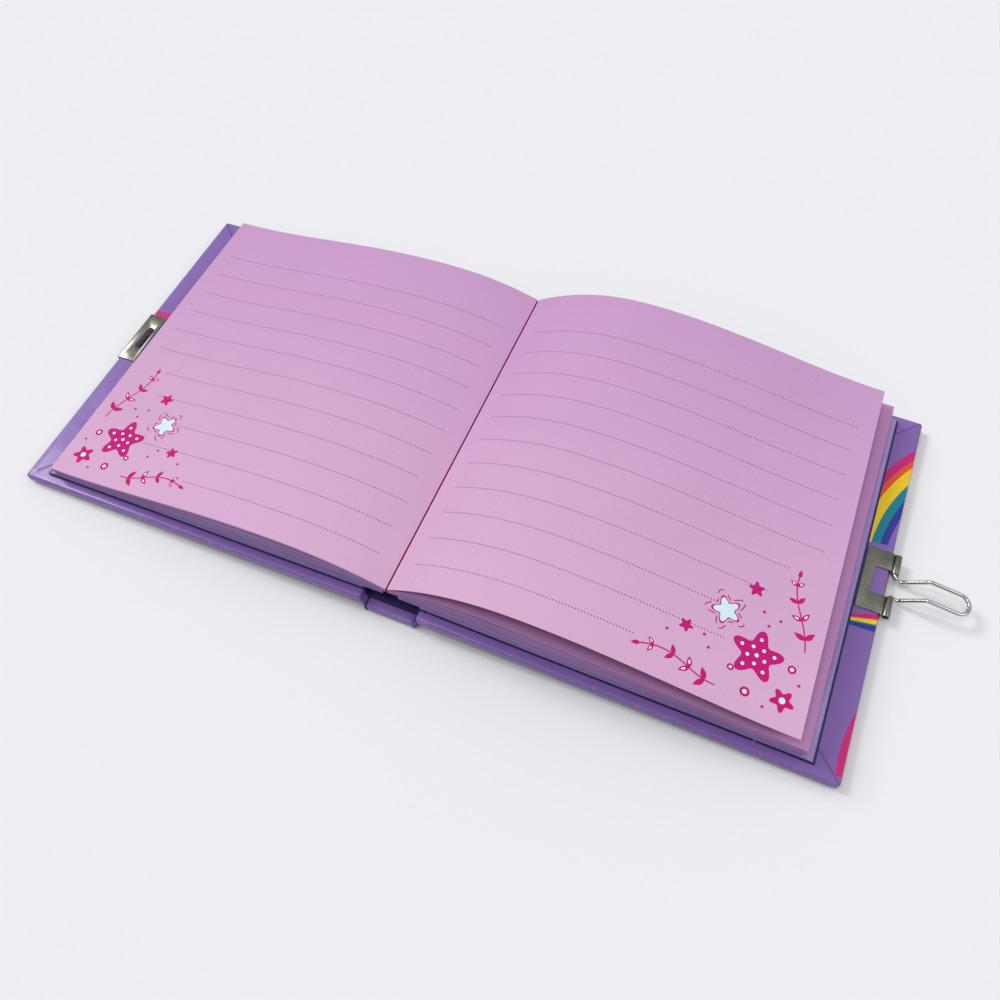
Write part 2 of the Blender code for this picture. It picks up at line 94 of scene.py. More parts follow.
def linear(red: int, green: int, blue: int) -> Colour:
    """A display colour of 0 to 255 as scene-linear values."""
    return tuple(c / 3294.6 if c <= 10 else ((c / 255 + 0.055) / 1.055) ** 2.4
                 for c in (red, green, blue))


# ---------------------------------------------------------------- shared effects


class Coords(Enum):
    """Which coordinates a finish is laid out in."""

    REST = "rest"
    UNWRAPPED = "unwrapped"


class Tree:
    """Short calls that fill one node tree."""

    def __init__(self, tree: bpy.types.NodeTree) -> None:
        """Keeps the tree that the other methods fill."""
        self.tree = tree

    def add(self, kind: str, inputs: dict[Any, Any] | None = None, **settings: Any) -> Node:
        """Adds a node.

        Args:
            kind: The node's type without the ShaderNode prefix.
            inputs: Values or sockets for its inputs, by name or number.
            settings: The node's own properties.

        Returns:
            The new node.
        """
        node = self.tree.nodes.new("ShaderNode" + kind)
        for name, value in settings.items():
            setattr(node, name, value)
        for key, value in (inputs or {}).items():
            self.give(node, key, value)
        return node

    def give(self, node: Node, key: Any, value: Any) -> None:
        """Links a socket to a node's input, or sets the input to a value."""
        if isinstance(value, Socket):
            self.tree.links.new(value, node.inputs[key])
        elif isinstance(value, tuple) and node.inputs[key].type == "RGBA":
            node.inputs[key].default_value = (*value, 1.0)
        else:
            node.inputs[key].default_value = value

    def times(self, one: Any, two: Any) -> Socket:
        """Multiplies two vectors or colours and returns the vector socket."""
        return self.add("VectorMath", {0: one, 1: two}, operation="MULTIPLY").outputs[0]

    def split(self, vector: Socket) -> Any:
        """Splits a vector and returns its three sockets."""
        return self.add("SeparateXYZ", {0: vector}).outputs

    def mark(self, name: str) -> Socket:
        """The value of a piece's own mark."""
        return self.add("Attribute", attribute_name=name).outputs["Fac"]

    def join(self, *parts: Any) -> Socket:
        """Joins three values into a vector and returns its socket."""
        return self.add("CombineXYZ", dict(enumerate(parts))).outputs[0]

    def cloud(self, where: Any, scale: Any, detail: float, roughness: float = 0.5) -> Socket:
        """Adds a noise over some coordinates and returns its value socket."""
        return self.add("TexNoise", {"Vector": where, "Scale": scale, "Detail": detail,
                                     "Roughness": roughness}).outputs[0]

    def math(self, operation: str, *values: Any) -> Socket:
        """Adds a maths node on sockets or numbers and returns its value socket."""
        return self.add("Math", dict(enumerate(values)), operation=operation).outputs[0]

    def mix(self, share: Any, one: Any, two: Any) -> Socket:
        """Mixes two colours and returns the colour socket."""
        return self.add("Mix", {0: share, 6: one, 7: two}, data_type="RGBA").outputs[2]

    def range(self, value: Any, low: float, high: float, to_low: float = 0.0,
              to_high: float = 1.0) -> Socket:
        """Maps a value from one range to another, clamped, and returns the result socket."""
        return self.add("MapRange", {0: value, 1: low, 2: high,
                                     3: to_low, 4: to_high}).outputs[0]

    def ramp(self, value: Any, stops: Sequence[tuple[float, Colour, float]]) -> Node:
        """Adds a colour ramp whose colours hold up to the next stop.

        Args:
            value: The socket that picks the place on the ramp.
            stops: Place, colour and alpha of each stop.

        Returns:
            The ramp node, with its Color and Alpha outputs.
        """
        node = self.add("ValToRGB", {0: value})
        ramp = node.color_ramp
        ramp.interpolation = "CONSTANT"
        while len(ramp.elements) < len(stops):
            ramp.elements.new(0.5)
        for element, (place, colour, alpha) in zip(ramp.elements, stops):
            element.position = place
            element.color = (*colour, alpha)
        return node

    def group(self, shared: "Effect", **inputs: Any) -> Node:
        """Places a shared effect with its own values and returns the group node."""
        named = {name.replace("_", " ").title(): value for name, value in inputs.items()}
        return self.add("Group", named, node_tree=shared.tree())


@dataclass(frozen=True)
class Effect:
    """A shader node group that several finishes share.

    takes and gives name its input and output sockets.
    """

    name: str = "effect"
    takes: tuple[str, ...] = ()
    gives: tuple[str, ...] = ()

    def fill(self, tree: Tree, given: Node, result: Node) -> None:
        """Fills the group between its input and output nodes."""

    def tree(self) -> bpy.types.NodeTree:
        """The group, built when it is first asked for."""
        found = bpy.data.node_groups.get(self.name)
        if found:
            return found
        made = bpy.data.node_groups.new(self.name, "ShaderNodeTree")
        for direction, names in (("INPUT", self.takes), ("OUTPUT", self.gives)):
            for name in names:
                kind = name if name in ("Color", "Vector") else "Float"
                made.interface.new_socket(name=name, in_out=direction,
                                          socket_type=f"NodeSocket{kind}")
        self.fill(Tree(made), made.nodes.new("NodeGroupInput"),
                  made.nodes.new("NodeGroupOutput"))
        return made


@dataclass(frozen=True)
class Mottle(Effect):
    """Uneven tone: a colour that drifts lighter and darker over the surface."""

    name: str = "mottle"
    takes: tuple[str, ...] = ("Color", "Vector", "Broad Scale", "Broad Amount",
                              "Fine Scale", "Fine Amount")
    gives: tuple[str, ...] = ("Color", "Value")

    def fill(self, tree: Tree, given: Node, result: Node) -> None:
        """Two noises, each scaled by its amount, multiply the colour."""
        total = 1.0
        for size in ("Broad", "Fine"):
            cloud = tree.cloud(given.outputs["Vector"], given.outputs[f"{size} Scale"],
                               2.0, 0.6)
            drift = tree.math("MULTIPLY", tree.math("SUBTRACT", cloud, 0.5),
                              given.outputs[f"{size} Amount"])
            total = tree.math("ADD", total, drift)
        tree.give(result, "Color", tree.times(given.outputs["Color"], total))
        tree.give(result, "Value", total)


@dataclass(frozen=True)
class Fibre(Effect):
    """Short matted fibres, as a height for bump."""

    name: str = "fibre"
    takes: tuple[str, ...] = ("Vector", "Scale", "Stretch")
    gives: tuple[str, ...] = ("Height",)

    def fill(self, tree: Tree, given: Node, result: Node) -> None:
        """Crossed noises, each drawn out along its own direction."""
        total = 0.0
        for turn in (0.4, 1.7):
            spun = tree.add("VectorRotate", {"Vector": given.outputs["Vector"], "Angle": turn},
                            rotation_type="Z_AXIS").outputs[0]
            drawn = tree.join(given.outputs["Stretch"], 1.0, 1.0)
            cloud = tree.cloud(tree.times(spun, drawn), given.outputs["Scale"], 3.0, 0.7)
            total = tree.math("ADD", total, cloud)
        tree.give(result, "Height", tree.math("MULTIPLY", total, 0.5))


@dataclass(frozen=True)
class LeafLines(Effect):
    """Edges of stacked leaves, as thin streaks along the stack."""

    name: str = "leaf_lines"
    takes: tuple[str, ...] = ("Vector", "Leaf", "Bunch")
    gives: tuple[str, ...] = ("Mask", "Height")

    def fill(self, tree: Tree, given: Node, result: Node) -> None:
        """Noise that runs on along the leaves and changes fast across them."""
        parts = []
        for thickness in ("Leaf", "Bunch"):
            rate = tree.math("DIVIDE", 1.0, given.outputs[thickness])
            scale = tree.join(14.0, 14.0, rate)
            streak = tree.cloud(tree.times(given.outputs["Vector"], scale), 1.0, 1.0)
            parts.append(tree.range(streak, 0.32, 0.68))
        both = tree.math("ADD", tree.math("MULTIPLY", parts[0], 0.55),
                         tree.math("MULTIPLY", parts[1], 0.45))
        tree.give(result, "Mask", both)
        tree.give(result, "Height", parts[0])


@dataclass(frozen=True)
class WearAndHighlight(Effect):
    """Handling wear and a painted highlight, on the edges that the piece's own mark picks."""

    name: str = "rub"
    takes: tuple[str, ...] = ("Vector", "Mark", "Scale")
    gives: tuple[str, ...] = ("Mask",)

    def fill(self, tree: Tree, given: Node, result: Node) -> None:
        """The mark is broken up by noise, so that the wear and the painted highlight are
        patchy.
        """
        cloud = tree.cloud(given.outputs["Vector"], given.outputs["Scale"], 4.0, 0.7)
        wear_lit_mask = tree.math("ADD", tree.math("MULTIPLY", given.outputs["Mark"], 0.75), cloud)
        tree.give(result, "Mask", tree.range(wear_lit_mask, 0.95, 1.25))


# ---------------------------------------------------------------- finishes


@dataclass(frozen=True)
class Finish:
    """A material with its own node tree.

    broad and fine are the scale and amount of the tone's drift, tooth the scale,
    stretch, depth and strength of the fibres, and plain the shader's even values.
    """

    name: str
    roughness: float
    base: Colour = (0.5, 0.5, 0.5)
    broad: Point = (0.0, 0.0)
    fine: Point = (0.0, 0.0)
    tooth: tuple[float, ...] = ()
    plain: Values = ()

    def material(self) -> bpy.types.Material:
        """The material, built when it is first asked for."""
        found = bpy.data.materials.get(self.name)
        if found:
            return found
        made = bpy.data.materials.new(self.name)
        made.use_nodes = True
        tree = Tree(made.node_tree)
        shader = made.node_tree.nodes["Principled BSDF"]
        for key, value in (("Roughness", self.roughness), *self.plain):
            tree.give(shader, key, value)
        self.dress(tree, shader, self.place(tree))
        return made

    def place(self, tree: Tree) -> Socket:
        """Coordinates of the open diary, which ride with a stiff piece."""
        return tree.add("TexCoord").outputs["Object"]

    def colour(self, tree: Tree, where: Socket) -> Any:
        """The colour before its drift."""
        return self.base

    def dress(self, tree: Tree, shader: Node, where: Socket) -> None:
        """Links the toned colour and the fibres to the shader."""
        self.tone(tree, shader, where)
        if self.tooth:
            scale, stretch, depth, strength = self.tooth
            fibres = self.fibres(tree, where, scale, stretch)
            self.relief(tree, shader, fibres, depth, strength)

    def tone(self, tree: Tree, shader: Node, where: Socket) -> Sequence[Socket]:
        """Lets the colour drift, links it to the shader and returns colour and drift."""
        toned = tree.group(Mottle(), color=self.colour(tree, where), vector=where,
                           broad_scale=self.broad[0], broad_amount=self.broad[1],
                           fine_scale=self.fine[0], fine_amount=self.fine[1]).outputs
        tree.give(shader, "Base Color", toned[0])
        return toned

    def gloss(self, tree: Tree, shader: Node, drift: Any, amount: float) -> None:
        """Lets the roughness drift with the colour."""
        tree.give(shader, "Roughness", tree.math("MULTIPLY_ADD", drift, amount,
                                                 self.roughness - amount))

    def relief(self, tree: Tree, shader: Node, height: Any, depth: float,
               strength: float) -> None:
        """Links a height through a bump node to the shader's normal."""
        bump = tree.add("Bump", {"Height": height, "Distance": depth, "Strength": strength})
        tree.give(shader, "Normal", bump.outputs[0])

    def fibres(self, tree: Tree, where: Socket, scale: float, stretch: float) -> Socket:
        """Short matted fibres as a height."""
        return tree.group(Fibre(), vector=where, scale=scale, stretch=stretch).outputs[0]


@dataclass(frozen=True)
class PaperFinish(Finish):
    """Uncoated tinted writing paper, a little deeper towards the head."""

    name: str = "pink_paper"
    roughness: float = 0.84
    broad: Point = (28.0, 0.07)
    fine: Point = (950.0, 0.13)
    tooth: tuple[float, ...] = (1500.0, 0.35, 0.00004, 0.5)
    plain: Values = (("Specular IOR Level", 0.2),)
    tail: Colour = linear(216, 172, 207)
    head: Colour = linear(201, 154, 199)

    def place(self, tree: Tree) -> Socket:
        """The leaf's unwrapped lengths."""
        return tree.add("TexCoord").outputs["UV"]

    def colour(self, tree: Tree, where: Socket) -> Socket:
        """The printed tint, from the tail to the head."""
        return tree.mix(tree.range(tree.split(where)[1], -0.06, 0.075), self.tail, self.head)


@dataclass(frozen=True)
class LeafEdgeFinish(Finish):
    """The cut edges of a block of leaves."""

    name: str = "leaf_edges"
    roughness: float = 0.9
    broad: Point = (45.0, 0.10)
    fine: Point = (700.0, 0.06)
    coords: Coords = Coords.UNWRAPPED
    light: Colour = linear(200, 174, 228)
    dark: Colour = linear(138, 116, 180)
    # fore is painted light: it makes the faces turned to the fore-edges lighter and warmer.
    fore: Colour = (1.45, 1.28, 1.0)

    def place(self, tree: Tree) -> Socket:
        """Along the leaves and up the stack, from UVs or from the rest place."""
        source = tree.add("TexCoord").outputs
        if self.coords is Coords.UNWRAPPED:
            along, up, _ = tree.split(source["UV"])
            return tree.join(along, along, up)
        x, y, z = tree.split(source["Object"])
        lean = tree.math("MULTIPLY", tree.math("ABSOLUTE", x), math.sin(SLOPE))
        return tree.join(x, y, tree.math("ADD", z, lean))

    def lines(self, tree: Tree, where: Socket) -> Node:
        """The streaks of the leaves."""
        return tree.group(LeafLines(), vector=where, leaf=0.00016, bunch=0.0009)

    def colour(self, tree: Tree, where: Socket) -> Socket:
        """Light and dark streaks, with painted light that makes the faces turned along x, the
        fore-edges, lighter and warmer.
        """
        mask = self.lines(tree, where).outputs["Mask"]
        colour = tree.mix(mask, self.dark, self.light)
        painted_light_facing = tree.split(tree.add("TexCoord").outputs["Normal"])[0]
        outward = tree.range(tree.math("ABSOLUTE", painted_light_facing), 0.5, 0.9)
        return tree.mix(outward, colour, tree.times(colour, self.fore))

    def dress(self, tree: Tree, shader: Node, where: Socket) -> None:
        """Toned streaks and their relief."""
        self.tone(tree, shader, where)
        height = self.lines(tree, where).outputs["Height"]
        self.relief(tree, shader, height, 0.00008, 0.6)


@dataclass(frozen=True)
class LaminateFinish(Finish):
    """Purple printed paper under a glossy film, with coloured stripes.

    The bow is a set of rings round a point, the fan a set of rays from one, both on
    the back cover; each holds its stripes from the inmost or lowest one. Places are
    those of the open diary.
    """

    name: str = "purple_laminate"
    roughness: float = 0.33
    base: Colour = linear(134, 101, 174)
    broad: Point = (30.0, 0.12)
    fine: Point = (800.0, 0.10)
    plain: Values = (
        ("Specular IOR Level", 0.3), ("Coat Weight", 0.26), ("Coat Roughness", 0.12))
    # The light colour of edge wear, which also serves as a painted highlight along the edges.
    wear_highlight: Colour = linear(212, 202, 226)
    seam: Colour = linear(66, 40, 112)
    stripes: tuple[Colour, ...] = (linear(42, 52, 152), linear(0, 130, 152),
                                   linear(246, 208, 22), linear(232, 88, 34),
                                   linear(204, 24, 120))
    bow_at: Point = (0.2280, 0.0120)
    bow: tuple[float, ...] = (0.06730, 0.07006, 0.07327, 0.07750, 0.07963, 0.08291)
    bow_foot: Point = (-0.0092, 0.162)
    fan_at: Point = (0.1396, -0.0208)
    fan: tuple[float, ...] = (0.046, 0.149, 0.175, 0.255, 0.273, 0.366)
    crescent: tuple[float, float, float] = (0.2215, -0.0675, 0.0609)
    crescent_foot: float = -0.0745
    band: Point = (0.0132, 0.0173)

    def colour(self, tree: Tree, where: Socket) -> Socket:
        """The print with its seams, lighter where the edges show wear and a painted highlight.
        """
        colour = tree.mix(tree.mark("seam"), self.printed(tree, where), self.seam)
        wear_lit_mask = tree.group(WearAndHighlight(), vector=where, mark=tree.mark("rub"), scale=420.0).outputs[0]
        return tree.mix(tree.math("MULTIPLY", wear_lit_mask, 0.55), colour, self.wear_highlight)

    def dress(self, tree: Tree, shader: Node, where: Socket) -> None:
        """The print under a film coat that is slightly wavy."""
        self.gloss(tree, shader, self.tone(tree, shader, where)[1], 0.35)
        fine = tree.math("MULTIPLY", self.fibres(tree, where, 900.0, 0.6), 0.06)
        height = tree.math("ADD", tree.cloud(where, 95.0, 2.0), fine)
        self.relief(tree, shader, height, 0.0007, 0.5)

    def printed(self, tree: Tree, rest: Socket) -> Socket:
        """The print's colour: the purple ground with its stripes.

        Args:
            tree: The finish's own tree.
            rest: Places of the open diary.

        Returns:
            The colour socket.
        """
        x, y = tree.split(rest)[:2]
        right, left = tree.math("GREATER_THAN", x, 0.0), tree.math("LESS_THAN", x, 0.0)
        ring = self.distance(tree, rest, self.bow_at)
        foot = tree.math("MULTIPLY_ADD", x, self.bow_foot[1], self.bow_foot[0])
        above = tree.math("MULTIPLY", right, tree.math("GREATER_THAN", y, foot))
        colour = self.striped(tree, self.base, ring, self.bow, above)
        ray = tree.math("DIVIDE", tree.math("SUBTRACT", y, self.fan_at[1]),
                        tree.math("MAXIMUM", tree.math("SUBTRACT", x, self.fan_at[0]), 0.001))
        low = tree.math("MULTIPLY", tree.math("GREATER_THAN", x, self.fan_at[0] + 0.004),
                        tree.math("LESS_THAN", y, 0.0))
        colour = self.striped(tree, colour, ray, self.fan, low)
        *centre, radius = self.crescent
        disc = tree.math("LESS_THAN", self.distance(tree, rest, centre), radius)
        inside = tree.math("MULTIPLY", disc, tree.math("GREATER_THAN", y, self.crescent_foot))
        colour = tree.mix(tree.math("MULTIPLY", inside, low), colour, self.stripes[-1])
        inside = tree.math("MULTIPLY", tree.math("GREATER_THAN", y, self.band[0]),
                           tree.math("LESS_THAN", y, self.band[1]))
        return tree.mix(tree.math("MULTIPLY", inside, left), colour, self.stripes[-1])

    def striped(self, tree: Tree, ground: Any, value: Any, edges: Sequence[float],
                where: Any) -> Socket:
        """Lays the stripes over a ground wherever a value lies between their edges.

        Args:
            tree: The finish's own tree.
            ground: The colour under the stripes.
            value: The socket whose value picks the stripe.
            edges: The value at the stripes' edges, from the first to the last.
            where: The mask that holds the stripes.

        Returns:
            The colour socket.
        """
        share = tree.range(value, edges[0], edges[-1] * 1.0001)
        span = edges[-1] - edges[0]
        stops = [(0.0, self.stripes[0], 0.0)]
        stops += [(max(0.0005, (edge - edges[0]) / span), shade, 1.0)
                  for edge, shade in zip(edges, self.stripes)]
        ramp = tree.ramp(share, stops + [(0.999, self.stripes[-1], 0.0)])
        return tree.mix(tree.math("MULTIPLY", ramp.outputs[1], where), ground,
                        ramp.outputs[0])

    def distance(self, tree: Tree, rest: Any, point: Sequence[float]) -> Socket:
        """Distance in plan from a point of the open diary."""
        plan = tree.times(rest, (1.0, 1.0, 0.0))
        return tree.add("VectorMath", {0: plan, 1: (*point, 0.0)},
                        operation="DISTANCE").outputs["Value"]


@dataclass(frozen=True)
class EndpaperFinish(Finish):
    """Dark blue endpaper with a few small pale specks."""

    name: str = "dark_endpaper"
    roughness: float = 0.55
    base: Colour = linear(20, 30, 88)
    broad: Point = (40.0, 0.2)
    fine: Point = (900.0, 0.2)
    tooth: tuple[float, ...] = (1400.0, 0.4, 0.00004, 0.4)
    dots: Colour = linear(130, 160, 190)
    speck: float = 0.022

    def colour(self, tree: Tree, where: Socket) -> Socket:
        """Dots from the distance to scattered points."""
        cells = tree.add("TexVoronoi", {"Vector": where, "Scale": 78.0, "Randomness": 0.55},
                         voronoi_dimensions="2D").outputs["Distance"]
        return tree.mix(tree.math("LESS_THAN", cells, self.speck), self.base, self.dots)


@dataclass(frozen=True)
class GreyboardFinish(Finish):
    """Pressed greyboard with dark and pale flecks and matted fibres."""

    name: str = "greyboard"
    roughness: float = 0.92
    base: Colour = linear(132, 124, 116)
    broad: Point = (120.0, 0.25)
    fine: Point = (2200.0, 0.7)
    tooth: tuple[float, ...] = (1100.0, 0.25, 0.0001, 0.8)


@dataclass(frozen=True)
class MullFinish(Finish):
    """Open gauze glued to the back of the sections."""

    name: str = "mull_gauze"
    roughness: float = 0.95
    base: Colour = linear(214, 206, 212)
    broad: Point = (60.0, 0.15)
    fine: Point = (1500.0, 0.3)
    pitch: float = 0.0009

    def dress(self, tree: Tree, shader: Node, where: Socket) -> None:
        """Threads both ways, darker between them."""
        threads = [tree.math("ABSOLUTE", tree.math("SINE", tree.math(
            "MULTIPLY", axis, math.pi / self.pitch))) for axis in tree.split(where)[1:]]
        weave = tree.math("MAXIMUM", *threads)
        shade = tree.range(weave, 0.35, 0.8, 0.45, 1.0)
        tree.give(shader, "Base Color", tree.times(self.tone(tree, shader, where)[0], shade))
        self.relief(tree, shader, weave, 0.0002, 0.8)


@dataclass(frozen=True)
class SteelFinish(Finish):
    """Plated steel: rolled sheet for the plates, drawn wire for the loop."""

    name: str = "plated_sheet"
    roughness: float = 0.3
    base: Colour = linear(134, 136, 124)
    broad: Point = (160.0, 0.7)
    fine: Point = (1300.0, 0.42)
    plain: Values = (("Metallic", 1.0),)
    # bright is the colour of plating wear, which also serves as a painted highlight along the
    # broken edges.
    bright: Colour = linear(236, 236, 230)
    stretch: float = 0.08

    def dress(self, tree: Tree, shader: Node, where: Socket) -> None:
        """Rolling marks, smudges, and edges lightened by wear and a painted highlight."""
        colour, drift = self.tone(tree, shader, where)
        wear_lit_mask = tree.group(WearAndHighlight(), vector=where, mark=tree.mark("rub"), scale=900.0).outputs[0]
        tree.give(shader, "Base Color", tree.mix(wear_lit_mask, colour, self.bright))
        self.gloss(tree, shader, drift, 0.30)
        marks = self.fibres(tree, where, 1600.0, self.stretch)
        self.relief(tree, shader, marks, 0.00003, 0.6)


@dataclass(frozen=True)
class InkFinish(Finish):
    """Printing ink in a solid tone that the paper makes slightly uneven."""

    name: str = "ink"
    roughness: float = 0.7
    base: Colour = linear(196, 24, 120)
    broad: Point = (90.0, 0.08)
    fine: Point = (1300.0, 0.16)
    plain: Values = (("Specular IOR Level", 0.15),)


@dataclass(frozen=True)
class FloorFinish(Finish):
    """The pale studio table, which throws little light back at the diary's sides."""

    name: str = "pale_table"
    roughness: float = 0.9
    base: Colour = linear(237, 237, 239)
    plain: Values = (("Specular IOR Level", 0.0),)
    bounce: Colour = linear(152, 152, 160)

    def dress(self, tree: Tree, shader: Node, where: Socket) -> None:
        """A plain matt colour, as the camera and the steel see it."""
        rays = tree.add("LightPath").outputs
        seen = tree.math("MAXIMUM", rays["Is Camera Ray"], rays["Is Glossy Ray"])
        seen = tree.math("MAXIMUM", seen, rays["Is Transmission Ray"])
        tree.give(shader, "Base Color", tree.mix(seen, self.bounce, self.base))


PAPER = PaperFinish()
# Painted shade: the open leaves' undersides take a deep plum paper for the shade beneath them.
UNDERSIDE_SHADE_PAPER = PaperFinish(name="underside_shade_paper", tail=linear(150, 62, 126),
                          head=linear(150, 62, 126))
# Painted shade: the loose leaves' paper is darker and deeper than the page's, for the shade
# under the page above them.
SHADED_STACK_PAPER = PaperFinish(name="stack_shade_paper", tail=linear(208, 150, 202),
                          head=linear(200, 142, 196))
STACK_EDGE = LeafEdgeFinish()
SECTION_EDGE = LeafEdgeFinish(name="section_edges", coords=Coords.REST)
LAMINATE = LaminateFinish()
ENDPAPER = EndpaperFinish()
SPINE_PAPER = EndpaperFinish(name="spine_paper", base=linear(40, 28, 90), speck=0.0)
GREYBOARD = GreyboardFinish()
MULL = MullFinish()
SHEET_STEEL = SteelFinish()
WIRE_STEEL = SteelFinish(name="plated_wire", roughness=0.12, base=linear(204, 204, 200),
                         broad=(160.0, 0.12), fine=(1300.0, 0.072), stretch=0.5)


# ---------------------------------------------------------------- geometry tools


@dataclass(frozen=True)
class Half:
    """One half of the open case in its own slanted coordinates."""

    side: int
    hinge_x: float = 0.0104
    hinge_z: float = 0.0055
    slope: float = SLOPE

    @property
    def prefix(self) -> str:
        """The half's name in the CAD frame."""
        return "front" if self.side < 0 else "back"

    @property
    def cover(self) -> str:
        """The body of the half's cover."""
        return f"{self.prefix}_cover"

    @property
    def pages(self) -> str:
        """The body of the half's pages."""
        return f"{self.prefix}_pages"

    @property
    def normal(self) -> Vector:
        """The direction off the cover's inner face."""
        return Vector((self.side * math.sin(self.slope), 0.0, math.cos(self.slope)))

    def place(self, a: float, y: float, b: float) -> Vector:
        """The point of the open diary at the half's own coordinates."""
        sine, cosine = math.sin(self.slope), math.cos(self.slope)
        return Vector((self.side * (self.hinge_x + a * cosine + b * sine), y,
                       self.hinge_z - a * sine + b * cosine))

    def outward(self, x: float, b: float) -> float:
        """The half's own a of the plane x, at the height b."""
        return (self.side * x - self.hinge_x - b * math.sin(self.slope)) / math.cos(self.slope)


@dataclass
class Plan:
    """Points, faces and marks that are gathered before a piece is made."""

    points: list[Vector] = field(default_factory=list)
    faces: list[tuple[int, ...]] = field(default_factory=list)
    spread: list[tuple[Point, ...]] = field(default_factory=list)
    slots: list[int] = field(default_factory=list)
    marks: dict[str, dict[int, float]] = field(default_factory=dict)

    def add_face(self, corners: Sequence[int], spread: Sequence[Point] | None = None,
                 slot: int = 0) -> None:
        """Adds a face with its unwrapped corners and material slot."""
        self.faces.append(tuple(corners))
        self.spread.append(tuple(spread or [(0.0, 0.0)] * len(corners)))
        self.slots.append(slot)

    def add_tube(self, first: int, rings: int, count: int, slot: int = 0) -> None:
        """Adds the wall along rings of points.

        Args:
            first: The number of the first ring's first point.
            rings: How many rings follow one another.
            count: How many points each ring has.
            slot: The material slot of the faces.
        """
        for low in range(first, first + (rings - 1) * count, count):
            for i in range(count):
                j = (i + 1) % count
                self.add_face((low + i, low + j, low + count + j, low + count + i), slot=slot)

    def mark(self, name: str, index: int, value: float) -> None:
        """Notes a finish's mark on one point."""
        self.marks.setdefault(name, {})[index] = value

    def mesh(self, name: str, smooth: float = 35.0) -> bpy.types.Mesh:
        """Turns the plan into a mesh.

        Args:
            name: The mesh's name.
            smooth: Edges sharper than this many degrees stay sharp.

        Returns:
            The mesh, with its UVs and marks.
        """
        mesh = bpy.data.meshes.new(name)
        mesh.from_pydata([tuple(p) for p in self.points], [], self.faces)
        layer = mesh.uv_layers.new(name="unwrapped")
        for polygon, corners in zip(mesh.polygons, self.spread):
            for loop, corner in zip(polygon.loop_indices, corners):
                layer.data[loop].uv = corner
        for label, values in self.marks.items():
            attribute = mesh.attributes.new(label, "FLOAT", "POINT")
            for index, value in values.items():
                attribute.data[index].value = value
        mesh.polygons.foreach_set("material_index", self.slots)
        bm = bmesh.new()
        bm.from_mesh(mesh)
        bmesh.ops.recalc_face_normals(bm, faces=bm.faces)
        bm.to_mesh(mesh)
        bm.free()
        mesh.shade_smooth()
        mesh.set_sharp_from_angle(angle=math.radians(smooth))
        return mesh


def link(name: str, data: Any) -> bpy.types.Object:
    """Puts a new object into the scene."""
    made = bpy.data.objects.new(name, data)
    bpy.context.scene.collection.objects.link(made)
    return made


def show(name: str, mesh: bpy.types.Mesh, finishes: Sequence[Finish], body: str | None,
         stands_for: Sequence[str] = ()) -> bpy.types.Object:
    """Links a mesh as a piece of the diary.

    Args:
        name: The piece's name.
        mesh: Its mesh, in the coordinates of the open diary.
        finishes: One finish for each material slot of the mesh.
        body: The body that it rides on, or None where it is attached to none.
        stands_for: CAD nodes that it replaces.

    Returns:
        The new object.
    """
    piece = link(name, mesh)
    for finish in finishes:
        mesh.materials.append(finish.material())
    if body:
        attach(piece, body)
    if stands_for:
        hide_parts(*stands_for)
    log.info("%s: %d faces on %s", name, len(mesh.polygons), body or "two bodies")
    return piece


def paint(nodes: Sequence[str], finish: Finish) -> None:
    """Gives CAD nodes that stay in view a finish of their own."""
    for name in nodes:
        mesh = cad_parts[name].data
        mesh.materials.clear()
        mesh.materials.append(finish.material())
        log.info("%s: CAD solid in %s", name, finish.name)


def even(low: float, high: float, step: float) -> list[float]:
    """Evenly spaced places from low to high, no further apart than step."""
    count = max(1, math.ceil((high - low) / step - 1e-9))
    return [low + (high - low) * i / count for i in range(count + 1)]


